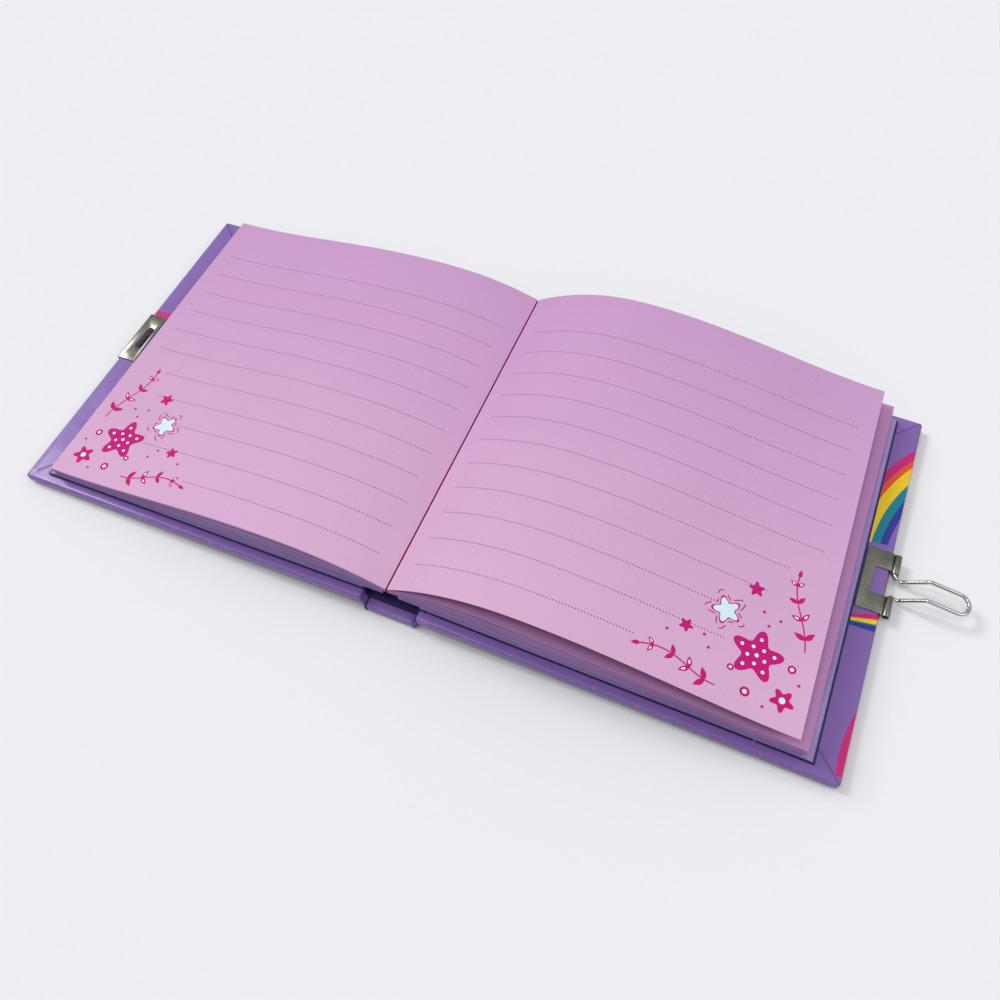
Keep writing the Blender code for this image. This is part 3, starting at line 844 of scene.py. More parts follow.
@dataclass
class Slab:
    """A closed slab with rounded edges, in rows and columns of faces."""

    lows: tuple[float, float, float]
    highs: tuple[float, float, float]
    radius: float
    step: float = 0.006
    fine: tuple[Sequence[Point], Sequence[Point]] = ((), ())
    fine_step: float = 0.0005

    def places(self, axis: int) -> list[float]:
        """Where the faces along one axis meet: close in the rounding and the fine zones."""
        low, high, r = self.lows[axis], self.highs[axis], self.radius
        turn = [r * (1 - math.tan(math.radians(t))) for t in (45, 30, 15, 0)]
        cuts = [low + r]
        for start, end in (self.fine[axis] if axis < 2 else ()):
            cuts += even(cuts[-1], start, self.step)[1:] if start > cuts[-1] else []
            cuts += even(cuts[-1], end, self.fine_step)[1:]
        if high - r > cuts[-1] + 1e-7:
            cuts += even(cuts[-1], high - r, self.step)[1:]
        return [low + t for t in turn[:-1]] + cuts + [high - t for t in reversed(turn[:-1])]

    def rounded(self, point: Vector) -> Vector:
        """A point of the sharp box, moved onto the rounded slab."""
        r = self.radius
        core = Vector(min(max(point[i], self.lows[i] + r), self.highs[i] - r)
                      for i in range(3))
        off = point - core
        return core + off * (r / off.length) if off.length > 1e-9 else point

    def plan(self, shape: Callable[[Vector], Vector],
             marks: Callable[[Vector], dict[str, float]] | None = None) -> Plan:
        """Builds the slab's plan.

        Args:
            shape: Moves a point of the slab into the open diary.
            marks: Gives the finish's marks at a point of the slab.

        Returns:
            The plan, with one entry for each shared point.
        """
        grid = [self.places(axis) for axis in range(3)]
        plan, known = Plan(), {}

        def point(key: tuple[int, int, int]) -> int:
            """The number of the point at a place of the grid."""
            if key not in known:
                spot = self.rounded(Vector(grid[i][key[i]] for i in range(3)))
                known[key] = len(plan.points)
                plan.points.append(shape(spot))
                for label, value in (marks(spot) if marks else {}).items():
                    plan.mark(label, known[key], value)
            return known[key]

        for axis in range(3):
            one, two = [i for i in range(3) if i != axis]
            for end in (0, len(grid[axis]) - 1):
                for i, j in product(range(len(grid[one]) - 1), range(len(grid[two]) - 1)):
                    corners = []
                    for di, dj in ((0, 0), (1, 0), (1, 1), (0, 1)):
                        key = [0, 0, 0]
                        key[axis], key[one], key[two] = end, i + di, j + dj
                        corners.append(point(tuple(key)))
                    plan.add_face(corners)
        return plan


def smooth(value: float, low: float, high: float) -> float:
    """0 below low, 1 above high, eased between."""
    share = min(max((value - low) / (high - low), 0.0), 1.0)
    return share * share * (3 - 2 * share)


def applied(piece: bpy.types.Object) -> None:
    """Fixes a piece's modifiers into its mesh."""
    evaluated = piece.evaluated_get(bpy.context.evaluated_depsgraph_get())
    mesh = bpy.data.meshes.new_from_object(evaluated)
    piece.modifiers.clear()
    piece.data = mesh


# ---------------------------------------------------------------- the case


@dataclass
class Case:
    """The two covers and the spine strip with their wraps, joints and endpapers.

    flap, tuck and seam are those of the turn-ins at the covers' corners; the skins'
    sections and the ends of their bend are (x, z) points in millimetres.
    """

    height: float = 0.155
    cover_start: float = 0.0006
    cover_end: float = 0.1530
    thickness: float = 0.0042
    rounding: float = 0.0010
    turn_in: float = 0.016
    overlap: float = 0.00016
    spine_width: float = 0.0194
    spine_rounding: float = 0.0009
    slot_a: float = 0.1482
    slot_y: float = LOCK_Y
    slot_length: float = 0.0126
    slot_width: float = 0.0040
    skin_wall: float = 0.0004
    flap_ease: float = 0.004
    flap_fade: Point = (0.032, 0.018)
    tuck_from: float = 0.1475
    tuck_to: float = 0.1495
    tuck_past: float = 0.0012
    tuck_height: float = 0.00008
    swell: float = 0.00005
    swell_rate: float = 55.0
    wear_highlight_reach: Point = (0.0011, 0.0003)
    seam_reach: Point = (0.0006, 0.0001)
    skin_outer: tuple[Point, ...] = (
        (9.30, 0.18), (9.80, 0.25), (10.12, 0.60), (10.22, 1.60), (10.22, 3.20),
        (10.26, 4.60), (10.44, 5.20), (10.80, 5.42))
    skin_inner: tuple[Point, ...] = (
        (8.70, 4.95), (9.50, 5.00), (10.15, 5.25), (10.50, 6.10), (10.60, 7.40),
        (10.66, 8.80), (10.75, 9.60))
    skin_margin: float = 0.0035
    skin_row: float = 0.008
    bend: tuple[Point, Point] = ((10.2, 2.4), (10.7, 5.3))

    def build(self, halves: Sequence[Half]) -> None:
        """Builds every piece of the case and dresses the CAD boards and endpapers."""
        for half in halves:
            self.build_cover(half)
            self.build_skin(half)
            paint([f"{half.prefix}_pastedown", f"{half.prefix}_flyleaf"], ENDPAPER)
            paint([f"{half.prefix}_board"], GREYBOARD)
        self.build_spine()
        paint(["spine_lining"], SPINE_PAPER)
        paint(["spine_board"], GREYBOARD)

    def seam(self, spot: Vector) -> float:
        """Distance past the mitre, towards the head or tail edge, at a cover's corner."""
        return (self.cover_end - spot.x) - (self.height / 2 - abs(spot.y))

    def build_cover(self, half: Half) -> None:
        """The wrap round one cover board, with its turn-ins folded over at the corners."""
        reach = self.height / 2
        corner = self.cover_end - self.turn_in
        slab = Slab((self.cover_start, -reach, 0.0), (self.cover_end, reach, self.thickness),
                    self.rounding,
                    fine=([(corner, self.cover_end - self.rounding)],
                          [(-reach + self.rounding, -reach + self.turn_in),
                           (reach - self.turn_in, reach - self.rounding)]))

        def folded(spot: Vector) -> Vector:
            """Raises the fore-edge turn-in over the others and bows the face a little."""
            past = self.seam(spot)
            on_face = smooth(spot.z, self.thickness * 0.98, self.thickness)
            near = smooth(spot.x, corner - self.flap_ease, corner + self.flap_ease)
            fade = smooth(abs(spot.y), *(reach - inside for inside in self.flap_fade))
            lift = self.overlap * on_face * near * fade * (1 - smooth(past, -0.0004, 0.0001))
            lift *= smooth(self.cover_end - spot.x, 0.0010, 0.0030)
            tuck = smooth(abs(past - self.tuck_past), 0.0011, 0.0003)
            lift += (self.tuck_height * on_face * tuck
                     * smooth(spot.x, self.tuck_from, self.tuck_to))
            swell = self.swell * noise.noise(Vector((
                spot.x * self.swell_rate, spot.y * self.swell_rate, half.side * 4.0)))
            return half.place(spot.x, spot.y, spot.z + lift + swell * on_face)

        def marks(spot: Vector) -> dict[str, float]:
            """Darker along the mitre; wear and a painted highlight on the outer edges and
            corners.
            """
            inner_face = smooth(spot.z, self.thickness * 0.9, self.thickness * 0.99)
            line = smooth(abs(self.seam(spot)), *self.seam_reach)
            near = smooth(spot.x, corner, corner + 0.002)
            middle = self.thickness / 2
            edges = sorted(smooth(value, *(edge - inside for inside in self.wear_highlight_reach))
                           for value, edge in ((spot.x, self.cover_end), (abs(spot.y), reach),
                                               (abs(spot.z - middle), middle)))
            return {"seam": 0.8 * line * inner_face * near,
                    "rub": 0.62 * edges[1] + 0.38 * edges[0]}

        mesh = slab.plan(folded, marks).mesh(f"{half.prefix}_cover_laminate")
        piece = show(f"{half.prefix}_cover_laminate", mesh, [LAMINATE], half.cover,
                     [f"{half.prefix}_cover_wrap"])
        if half.side < 0:
            self.cut_slot(piece, half)

    def cut_slot(self, piece: bpy.types.Object, half: Half) -> None:
        """Opens the wrap where the loop passes through the cover."""
        radius = self.slot_width / 2
        plan = Plan()
        ring = []
        for centre, turn in ((self.slot_length / 2 - radius, 0.0),
                             (radius - self.slot_length / 2, math.pi)):
            ring += [(self.slot_a + radius * math.cos(turn + math.pi * i / 10),
                      self.slot_y + centre + radius * math.sin(turn + math.pi * i / 10))
                     for i in range(11)]
        for b in (-0.002, self.thickness + 0.002):
            plan.points += [half.place(a, y, b) for a, y in ring]
        count = len(ring)
        plan.add_face(range(count))
        plan.add_face(range(count, 2 * count))
        plan.add_tube(0, 2, count)
        cutter = link("slot_cutter", plan.mesh("slot_cutter"))
        modifier = piece.modifiers.new("slot", "BOOLEAN")
        modifier.object, modifier.operation, modifier.solver = cutter, "DIFFERENCE", "EXACT"
        applied(piece)
        bpy.data.objects.remove(cutter)

    def build_spine(self) -> None:
        """The spine strip's wrap, round its board."""
        reach, half_width = self.height / 2, self.spine_width / 2
        slab = Slab((-half_width, -reach, 0.0), (half_width, reach, self.thickness),
                    self.spine_rounding, step=0.003)

        def marks(spot: Vector) -> dict[str, float]:
            """Wear and a painted highlight at its ends."""
            return {"rub": 0.6 * smooth(abs(spot.y), reach - 0.001, reach - 0.0003)}

        mesh = slab.plan(lambda spot: spot, marks).mesh("spine_laminate")
        show("spine_laminate", mesh, [LAMINATE], "spine", ["spine_wrap"])

    def build_skin(self, half: Half) -> None:
        """The joint: wrap outside and endpaper inside, from the spine strip to a cover."""
        reach = self.height / 2
        s = half.side
        plan = Plan()
        for line, slot, margin in ((self.skin_outer, 0, 0.0),
                                   (self.skin_inner, 1, self.skin_margin)):
            self.add_skin(plan, [(s * x * MM, z * MM) for x, z in line],
                          even(-reach + margin, reach - margin, self.skin_row), slot)
        piece = show(f"{half.prefix}_hinge_skin", plan.mesh(f"{half.prefix}_hinge_skin"),
                     [LAMINATE, ENDPAPER], None,
                     [f"{half.prefix}_hinge_strip"])
        start, end = [(s * x * MM, 0.0, z * MM) for x, z in self.bend]
        half.cover
        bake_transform(piece)
        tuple(start)
        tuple(end)

    def add_skin(self, plan: Plan, line: Sequence[Point], ys: Sequence[float],
                 slot: int) -> None:
        """Adds a thin bent wall along the case to a plan.

        Args:
            plan: The plan that takes it.
            line: The wall's section as (x, z) points.
            ys: Where its rows lie.
            slot: The material slot of its faces.
        """
        centre = [Vector((x, 0.0, z)) for x, z in line]
        sides: list[list[Vector]] = [[], []]
        for i, here in enumerate(centre):
            along = (centre[min(i + 1, len(centre) - 1)] - centre[max(i - 1, 0)]).normalized()
            across = along.cross(Vector((0.0, 1.0, 0.0))) * (self.skin_wall / 2)
            sides[0].append(here - across)
            sides[1].append(here + across)
        ring = sides[0] + sides[1][::-1]
        base, count = len(plan.points), len(ring)
        for y in ys:
            plan.points += [p + Vector((0.0, y, 0.0)) for p in ring]
        plan.add_tube(base, len(ys), count, slot)
        for row in (0, len(ys) - 1):
            start = base + row * count
            for i in range(len(centre) - 1):
                plan.add_face((start + i, start + i + 1, start + count - 2 - i,
                               start + count - 1 - i), slot=slot)


# ---------------------------------------------------------------- the pages


@dataclass(frozen=True)
class Arch:
    """How leaves rise from the gutter to a crest and fall to the fore-edge.

    Heights are above the cover's inner face; tail and head are (crest, edge) pairs.
    """

    crest_reach: float
    tail: Point
    head: Point
    gutter: float = 0.0070
    power: float = 2.4

    def rise(self, d: float, width: float, pair: Point) -> float:
        """The height at the distance d from the gutter for one (crest, edge) pair."""
        crest, edge = pair
        if d < self.crest_reach:
            left = 1 - max(d, 0.0) / self.crest_reach
            return self.gutter + (crest - self.gutter) * (1 - left ** self.power)
        share = min((d - self.crest_reach) / (width - self.crest_reach), 1.0)
        return edge + (crest - edge) * (1 + math.cos(math.pi * share)) / 2

    def height(self, d: float, width: float, share: float) -> float:
        """The height at d, where share runs from 0 at the tail to 1 at the head."""
        return (self.rise(d, width, self.tail) * (1 - share)
                + self.rise(d, width, self.head) * share)


@dataclass(frozen=True)
class Leaves:
    """The room of one half's leaves: where they start, end and what they lie on."""

    half: Half
    edge: float = 0.138559
    face: float = 0.0042
    block_top: float = 0.00916
    block_back: float = -0.00744
    gap: float = 0.00018
    tail_y: float = -LEAF_REACH
    head_y: float = LEAF_REACH
    crease: float = -0.0011
    crease_gap: float = 0.00026
    crease_dip: float = 0.0006
    flat_at: float = 0.07

    @property
    def start(self) -> float:
        """The a of the leaves' inner ends at the crease between the two pages."""
        x = self.crease + self.half.side * self.crease_gap
        return self.half.outward(x, self.block_top)

    @property
    def width(self) -> float:
        """From the crease to the block's fore-edge."""
        return self.edge - self.start

    def share(self, y: float) -> float:
        """0 at the tail, 1 at the head."""
        return (y - self.tail_y) / (self.head_y - self.tail_y)

    def arch_b(self, arch: Arch, a: float, y: float) -> float:
        """The height b of an arch at a point of the half."""
        return self.face + arch.height(a - self.start, self.width, self.share(y))

    def floor_b(self, a: float) -> float:
        """What the lowest loose leaf lies on: the block, dipping to the crease."""
        share = min(max((self.block_back - a) / (self.block_back - self.start), 0.0), 1.0)
        return self.block_top + self.gap - self.crease_dip * share * share

    def ripple(self, a: float, y: float, amount: float) -> float:
        """The slight unevenness of paper that has been handled."""
        return amount * noise.noise(Vector((a * 24.0, y * 17.0, 3.7 * self.half.side)))


@dataclass
class Page:
    """The leaf on top, whose printed face is read."""

    leaves: Leaves
    arch: Arch
    over_tail: float
    over_head: float
    keep: float
    name: str
    stands_for: str
    wall: float = 0.00016
    lip: float = 0.0015
    lean: float = 0.00022
    ripple: float = 0.00016
    ripple_from: float = 0.02
    columns: int = 72
    rows: int = 30

    def end(self, y: float) -> float:
        """The a of the fore-edge at y."""
        share = self.leaves.share(y)
        return self.leaves.edge + self.over_tail * (1 - share) + self.over_head * share

    def top(self, a: float, y: float) -> float:
        """The height b of the printed face."""
        eased = smooth(a, self.leaves.start, self.leaves.start + self.ripple_from)
        return (self.leaves.arch_b(self.arch, a, y)
                + self.leaves.ripple(a, y, self.ripple) * eased)

    def spot(self, x: float, y: float, lift: float = 0.0) -> Vector:
        """The point over the printed face at a plan position of the open diary."""
        half = self.leaves.half
        a = half.outward(x, 0.012)
        for _ in range(3):
            b = self.top(a, y)
            a = half.outward(x, b)
        return half.place(a, y, self.top(a, y) + lift)

    def build(self) -> None:
        """Makes the leaf, bent down into the crease, as a closed sheet."""
        leaves, half = self.leaves, self.leaves.half
        ys = even(leaves.tail_y, leaves.head_y, (leaves.head_y - leaves.tail_y) / self.rows)
        start = leaves.start
        high, low = [[[half.place(start - self.lean + off, y, self.top(start, y) - self.lip)
                       for y in ys]] for off in (0.0, self.wall)]
        spread = [[(start - self.lip, y) for y in ys]]
        for i in range(self.columns + 1):
            share = (i / self.columns) ** 1.25
            inner = 0.0 if i else self.wall
            column = [(start + (self.end(y) - start) * share, y) for y in ys]
            high.append([half.place(a, y, self.top(a, y)) for a, y in column])
            low.append([half.place(a + inner, y, self.top(a, y) - self.wall)
                        for a, y in column])
            spread.append(column)
        plan = Plan()
        # The underside takes the paper with painted shade, and the lip faces in the crease
        # take the painted crease shade.
        add_sheet(plan, low, high, spread, (0.0, self.wall), under=2)
        for index, corners in enumerate(plan.spread):
            if plan.slots[index] != 1 and min(a for a, _ in corners) < start - self.wall:
                plan.slots[index] = 3
        piece = show(self.name, plan.mesh(self.name),
                     [PAPER, STACK_EDGE, UNDERSIDE_SHADE_PAPER, CREASE_SHADE], half.pages,
                     [self.stands_for])
        flatten(piece, leaves, self.keep)


def add_sheet(plan: Plan, low: list[list[Vector]], high: list[list[Vector]],
              spread: list[list[Point]], levels: Point, under: int = 0) -> None:
    """Adds a closed sheet between two grids of points to a plan.

    Args:
        plan: The plan that takes it.
        low: The lower grid.
        high: The upper grid.
        spread: Unwrapped place of each point of the grids.
        levels: Lower and upper height in the stack, for the cut edges.
        under: The material slot of the lower face.
    """
    n, m, base = len(low), len(low[0]), len(plan.points)
    plan.points += [p for row in low for p in row] + [p for row in high for p in row]

    def index(i: int, j: int, top: int) -> int:
        """The number of a grid point."""
        return base + top * n * m + i * m + j

    for i in range(n - 1):
        for j in range(m - 1):
            quad = [(i, j), (i + 1, j), (i + 1, j + 1), (i, j + 1)]
            for top in (0, 1):
                plan.add_face([index(p, q, top) for p, q in quad],
                              [spread[p][q] for p, q in quad], slot=0 if top else under)
    walls = [((i, j), (i + 1, j), 0) for i in range(n - 1) for j in (0, m - 1)]
    walls += [((i, j), (i, j + 1), 1) for j in range(m - 1) for i in (0, n - 1)]
    for one, two, axis in walls:
        run = [spread[p][q][axis] for p, q in (one, two)]
        plan.add_face([index(*one, 0), index(*two, 0), index(*two, 1), index(*one, 1)],
                      [(run[0], levels[0]), (run[1], levels[0]),
                       (run[1], levels[1]), (run[0], levels[1])], slot=1)


def flatten(piece: bpy.types.Object, leaves: Leaves, keep: float) -> None:
    """Gives a piece of paper a mesh of its own."""
    half = leaves.half
    anchor = half.place(leaves.flat_at, 0.0, leaves.block_top + leaves.gap)
    tuple(half.normal)
    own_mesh(piece)


@dataclass
class Stack:
    """The loose leaves between the sewn block and the open page."""

    leaves: Leaves
    top: Callable[[float, float], float]
    keep: float
    name: str
    stands_for: str
    overhang: float = 0.0004
    sheets: int = 9
    columns: int = 40
    rows: int = 6
    inset: float = 0.00022
    room: float = 0.0046
    fore_slip: float = 0.0007
    end_slip: float = 0.0004

    def stagger(self, index: int, seed: float, amount: float) -> float:
        """How far one sheet is out of line."""
        return amount * noise.noise(Vector((index * 0.83 + 0.4, seed, self.leaves.half.side)))

    def build(self) -> None:
        """Makes the leaves in bunches, each a sheet of its own, a little out of line."""
        leaves, half = self.leaves, self.leaves.half
        plan = Plan()
        for k in range(self.sheets):
            out = leaves.edge + self.overhang + self.stagger(k, 2.1, self.fore_slip)
            tail = leaves.tail_y + self.stagger(k, 5.3, self.end_slip)
            head = leaves.head_y + self.stagger(k, 8.9, self.end_slip)
            ys = even(tail, head, (head - tail) / self.rows)
            low, high, spread = [], [], []
            for i in range(self.columns + 1):
                inner = leaves.start + self.inset
                a = inner + (out - inner) * (i / self.columns) ** 1.3
                floor = leaves.floor_b(a)
                column = [(a, y) for y in ys]
                for grid, level in ((low, k + 0.02), (high, k + 0.96)):
                    grid.append([half.place(a, y, floor + (self.top(a, y) - floor)
                                            * level / self.sheets) for a, y in column])
                spread.append(column)
            add_sheet(plan, low, high, spread,
                      (self.room * k / self.sheets, self.room * (k + 1) / self.sheets))
        # The leaves take the paper with painted shade.
        piece = show(self.name, plan.mesh(self.name), [SHADED_STACK_PAPER, STACK_EDGE], half.pages,
                     [self.stands_for])
        flatten(piece, leaves, self.keep)


@dataclass
class FannedSection:
    """The section next to a cover, whose leaves slip past one another at the fore-edge."""

    half: Half
    start: float = 0.0008
    foot_end: float = 0.1426
    top_end: float = 0.1394
    low: float = 0.0055
    high: float = 0.00662
    tail_y: float = -LEAF_REACH
    head_y: float = LEAF_REACH
    sheets: int = 9
    slip: float = 0.00016
    lap: float = 0.0004

    def end(self, index: int) -> float:
        """The a of one bunch's fore-edge."""
        share = index / (self.sheets - 1)
        out = self.foot_end + (self.top_end - self.foot_end) * share
        slip = self.slip * noise.noise(Vector((index * 1.7 + 0.3, 4.4, self.half.side)))
        return min(out + slip, self.foot_end)

    def build(self) -> None:
        """Makes the section in bunches of leaves, each a little shorter than the last."""
        plan = Plan()
        step = (self.high - self.low) / self.sheets
        ys = even(self.tail_y, self.head_y, 0.02)
        for k in range(self.sheets):
            low = self.low + step * k
            bare = self.end(min(k + 1, self.sheets - 1)) - self.lap
            columns = [self.start, bare, self.end(k)]
            grids = [[[self.half.place(a, y, b) for y in ys] for a in columns]
                     for b in (low, low + step - PAPER_SLIP)]
            first = len(plan.faces)
            add_sheet(plan, grids[0], grids[1], [[(a, y) for y in ys] for a in columns],
                      (step * k, step * (k + 1)))
            self.mark_edges(plan, first, bare, step * k)
        name = f"{self.half.prefix}_fanned_section"
        show(name, plan.mesh(name), [PAPER, STACK_EDGE], self.half.cover,
             [f"{self.half.prefix}_section_1"])

    def mark_edges(self, plan: Plan, first: int, bare: float, level: float) -> None:
        """Gives the bare strip along each bunch's fore-edge the darker streaked look of cut
        leaves: partly their edges, partly painted shade between the fanned leaves.
        """
        for index in range(first, len(plan.faces)):
            corners = plan.spread[index]
            if plan.slots[index] == 0 and min(a for a, _ in corners) > bare - 1e-6:
                plan.slots[index] = 1
                plan.spread[index] = tuple((y, level + (a - bare) * 0.35) for a, y in corners)


# ---------------------------------------------------------------- the printing


class Ink(Enum):
    """The inks on a page, in the order of their material slots."""

    MAGENTA = 0
    WHITE = 1
    AQUA = 2
    RULE = 3


INKS = {Ink.MAGENTA: InkFinish(name="magenta_ink"),
        Ink.WHITE: InkFinish(name="white_ink", base=linear(246, 240, 248)),
        Ink.AQUA: InkFinish(name="aqua_ink", base=linear(214, 240, 246)),
        Ink.RULE: InkFinish(name="rule_ink", base=linear(122, 26, 98))}
# Painted shade: a dark magenta on the lip faces that dip into the crease between the pages.
CREASE_SHADE = InkFinish(name="crease_shade", base=linear(178, 36, 116))


def ahead(u: float, v: float, reach: float, turn: float) -> Point:
    """The point at some reach and turn from (u, v)."""
    return u + reach * math.cos(turn), v + reach * math.sin(turn)


@dataclass
class PagePrint:
    """Everything printed on one page: dotted rules and a corner ornament.

    The ornament is drawn in the page's own lengths: u inward from the fore-edge and
    v up from the tail, in millimetres.
    """

    page: Page
    name: str
    edge_x: float
    rule_from: float
    rule_to: float
    first_rule: float
    pitch: float
    dot: float = 0.00024
    dot_pitch: float = 0.00112
    ink_lift: float = 0.00003
    strip: float = 2.5
    strips: int = 30
    star_sides: int = 60
    plump: float = 0.56
    sprig_leaf: float = 4.6
    sprig_pairs: int = 4
    leaf_turn: float = 0.95
    clear: tuple[float, ...] = (0, 0, 0, 0, 0, 0, 0.0171, 0.0210, 0.0330, 0.0300, 0.0577)

    def build(self) -> None:
        """Draws the page's printing as thin ink just over the paper."""
        self.bm = bmesh.new()
        self.draw_corner()
        self.wrap()
        self.draw_rules()
        mesh = bpy.data.meshes.new(self.name)
        up = self.page.leaves.half.normal
        for face in self.bm.faces:
            face.normal_update()
            if face.normal.dot(up) < 0:
                face.normal_flip()
        self.bm.to_mesh(mesh)
        self.bm.free()
        mesh.shade_smooth()
        half = self.page.leaves.half
        piece = show(self.name, mesh, [INKS[ink] for ink in Ink], half.pages)
        flatten(piece, self.page.leaves, self.page.keep)

    def draw_rules(self, sides: int = 6) -> None:
        """Dots along each ruled line, which stops short of the ornament."""
        side = self.page.leaves.half.side
        for k, clear in enumerate(self.clear):
            y = self.first_rule - self.pitch * k
            fore = min(self.rule_to, self.edge_x - clear)
            ends = sorted((side * self.rule_from, side * fore))
            for i in range(int((ends[1] - ends[0]) / self.dot_pitch)):
                x = ends[0] + i * self.dot_pitch
                ring = [self.bm.verts.new(self.page.spot(
                    *ahead(x, y, self.dot, math.tau / sides * turn), self.ink_lift))
                    for turn in range(sides)]
                self.bm.faces.new(ring).material_index = Ink.RULE.value

    def wrap(self) -> None:
        """Lays the flat ornament on the arched page."""
        for step in range(1, self.strips):
            geom = self.bm.verts[:] + self.bm.edges[:] + self.bm.faces[:]
            bmesh.ops.bisect_plane(self.bm, geom=geom, plane_co=(step * self.strip, 0, 0),
                                   plane_no=(1, 0, 0))
        side, tail = self.page.leaves.half.side, self.page.leaves.tail_y
        for vert in self.bm.verts:
            u, v, layer = vert.co
            vert.co = self.page.spot(side * (self.edge_x - u * MM), tail + v * MM,
                                     self.ink_lift * layer)

    def shape(self, outline: Sequence[Point], ink: Ink, layer: int = 1) -> None:
        """Fills an outline with ink."""
        face = self.bm.faces.new([self.bm.verts.new((u, v, layer)) for u, v in outline])
        face.material_index = ink.value
        bmesh.ops.triangulate(self.bm, faces=[face])

    def stroke(self, line: Sequence[Point], width: float) -> None:
        """Draws a line of even width."""
        points = [Vector(p) for p in line]
        sides = []
        for i, here in enumerate(points):
            along = (points[min(i + 1, len(points) - 1)] - points[max(i - 1, 0)]).normalized()
            across = Vector((-along.y, along.x)) * (width / 2)
            sides.append([self.bm.verts.new((*spot, 1)) for spot in (here + across,
                                                                     here - across)])
        for one, two in zip(sides, sides[1:]):
            face = self.bm.faces.new((one[0], one[1], two[1], two[0]))
            face.material_index = Ink.MAGENTA.value

    def disc(self, u: float, v: float, radius: float, ink: Ink, layer: int = 1) -> None:
        """Fills a circle."""
        sides = 16 if radius > 0.6 else 10
        self.shape([ahead(u, v, radius, math.tau * i / sides) for i in range(sides)],
                   ink, layer)

    def star(self, u: float, v: float, radius: float, turn: float) -> list[Point]:
        """The outline of a soft five-pointed star."""
        outline = []
        for i in range(self.star_sides):
            angle = math.tau * i / self.star_sides
            wave = (0.5 + 0.5 * math.cos(5 * angle)) ** 1.25
            reach = radius * (self.plump + (1 - self.plump) * wave)
            outline.append(ahead(u, v, reach, angle + turn))
        return outline

    def leaf(self, u: float, v: float, length: float, turn: float, ink: Ink,
             layer: int = 1) -> None:
        """Fills a pointed leaf that grows from (u, v)."""
        outline = []
        for sign in (1, -1):
            for i in range(9):
                share = i / 9 if sign > 0 else 1 - i / 9
                wide = sign * 0.23 * length * math.sin(math.pi * share ** 0.8)
                along = length * share
                outline.append((u + along * math.cos(turn) - wide * math.sin(turn),
                                v + along * math.sin(turn) + wide * math.cos(turn)))
        self.shape(outline, ink, layer)

    def sprig(self, ends: Sequence[Point]) -> None:
        """Draws a bent stem with leaves on both sides, from its four control points."""
        def at(t: float) -> Vector:
            """A point of the stem."""
            weights = ((1 - t) ** 3, 3 * t * (1 - t) ** 2, 3 * t * t * (1 - t), t ** 3)
            return sum((Vector(p) * w for p, w in zip(ends, weights)), Vector((0.0, 0.0)))

        self.stroke([tuple(at(i / 28)) for i in range(29)], 0.5)
        for i in range(self.sprig_pairs):
            t = 0.14 + 0.74 * i / (self.sprig_pairs - 1)
            here, beyond = at(t), at(t + 0.02)
            size = self.sprig_leaf * (1.0 - 0.35 * t)
            for sign in (1, -1):
                turn = math.atan2(beyond.y - here.y, beyond.x - here.x) + sign * self.leaf_turn
                self.leaf(*here, size, turn, Ink.MAGENTA)
                if i % 2:
                    inner = here + Vector(ahead(0.0, 0.0, 1.0, turn)) * size * 0.3
                    self.leaf(*inner, size * 0.42, turn, Ink.WHITE, 2)
        tip, before = at(1.0), at(0.97)
        self.leaf(*tip, self.sprig_leaf * 0.7,
                  math.atan2(tip.y - before.y, tip.x - before.x), Ink.MAGENTA)

    def draw_corner(self) -> None:
        """The ornament: two sprigs, stars and berries in the page's outer corner."""
        self.sprig([(5.5, 29.0), (7.0, 40.0), (14.0, 45.0), (13.5, 55.0)])
        self.sprig([(30.0, 6.0), (39.0, 5.0), (44.0, 13.5), (56.5, 9.0)])
        big, turn = (20.0, 21.5), 0.35
        self.shape(self.star(*big, 9.2, turn), Ink.MAGENTA)
        for i in range(5):
            angle = math.tau * i / 5 + turn
            self.disc(*ahead(*big, 5.9, angle), 0.62, Ink.WHITE, 2)
            self.disc(*ahead(*big, 3.1, angle + 0.63), 0.62, Ink.WHITE, 2)
        self.disc(*big, 0.7, Ink.WHITE, 2)
        pale, turn = (33.5, 32.5), -0.2
        halo = self.star(*pale, 7.4, turn)
        for i in range(0, self.star_sides, 5):
            self.stroke(halo[i:i + 4], 0.42)
        self.shape(self.star(*pale, 5.4, turn), Ink.MAGENTA)
        self.shape(self.star(*pale, 4.6, turn), Ink.AQUA, 2)
        self.shape(self.star(8.5, 10.0, 4.2, 0.9), Ink.MAGENTA)
        self.disc(8.5, 10.0, 1.1, Ink.AQUA, 2)
        self.shape(self.star(26.0, 44.5, 2.9, 0.1), Ink.MAGENTA)
        self.shape(self.star(44.5, 21.5, 2.5, 0.7), Ink.MAGENTA)
        for u, v, radius in ((8.0, 21.5, 1.5), (20.5, 8.0, 1.7), (27.0, 14.0, 1.2)):
            self.disc(u, v, radius, Ink.MAGENTA)
            self.disc(u, v, radius * 0.45, Ink.WHITE, 2)
        for u, v in ((15.5, 36.5), (21.5, 37.5), (18.8, 33.2), (38.0, 21.0), (35.5, 17.2),
                     (14.0, 5.5), (4.6, 17.0), (50.0, 17.5)):
            self.disc(u, v, 0.55, Ink.MAGENTA)


# ---------------------------------------------------------------- the clasp


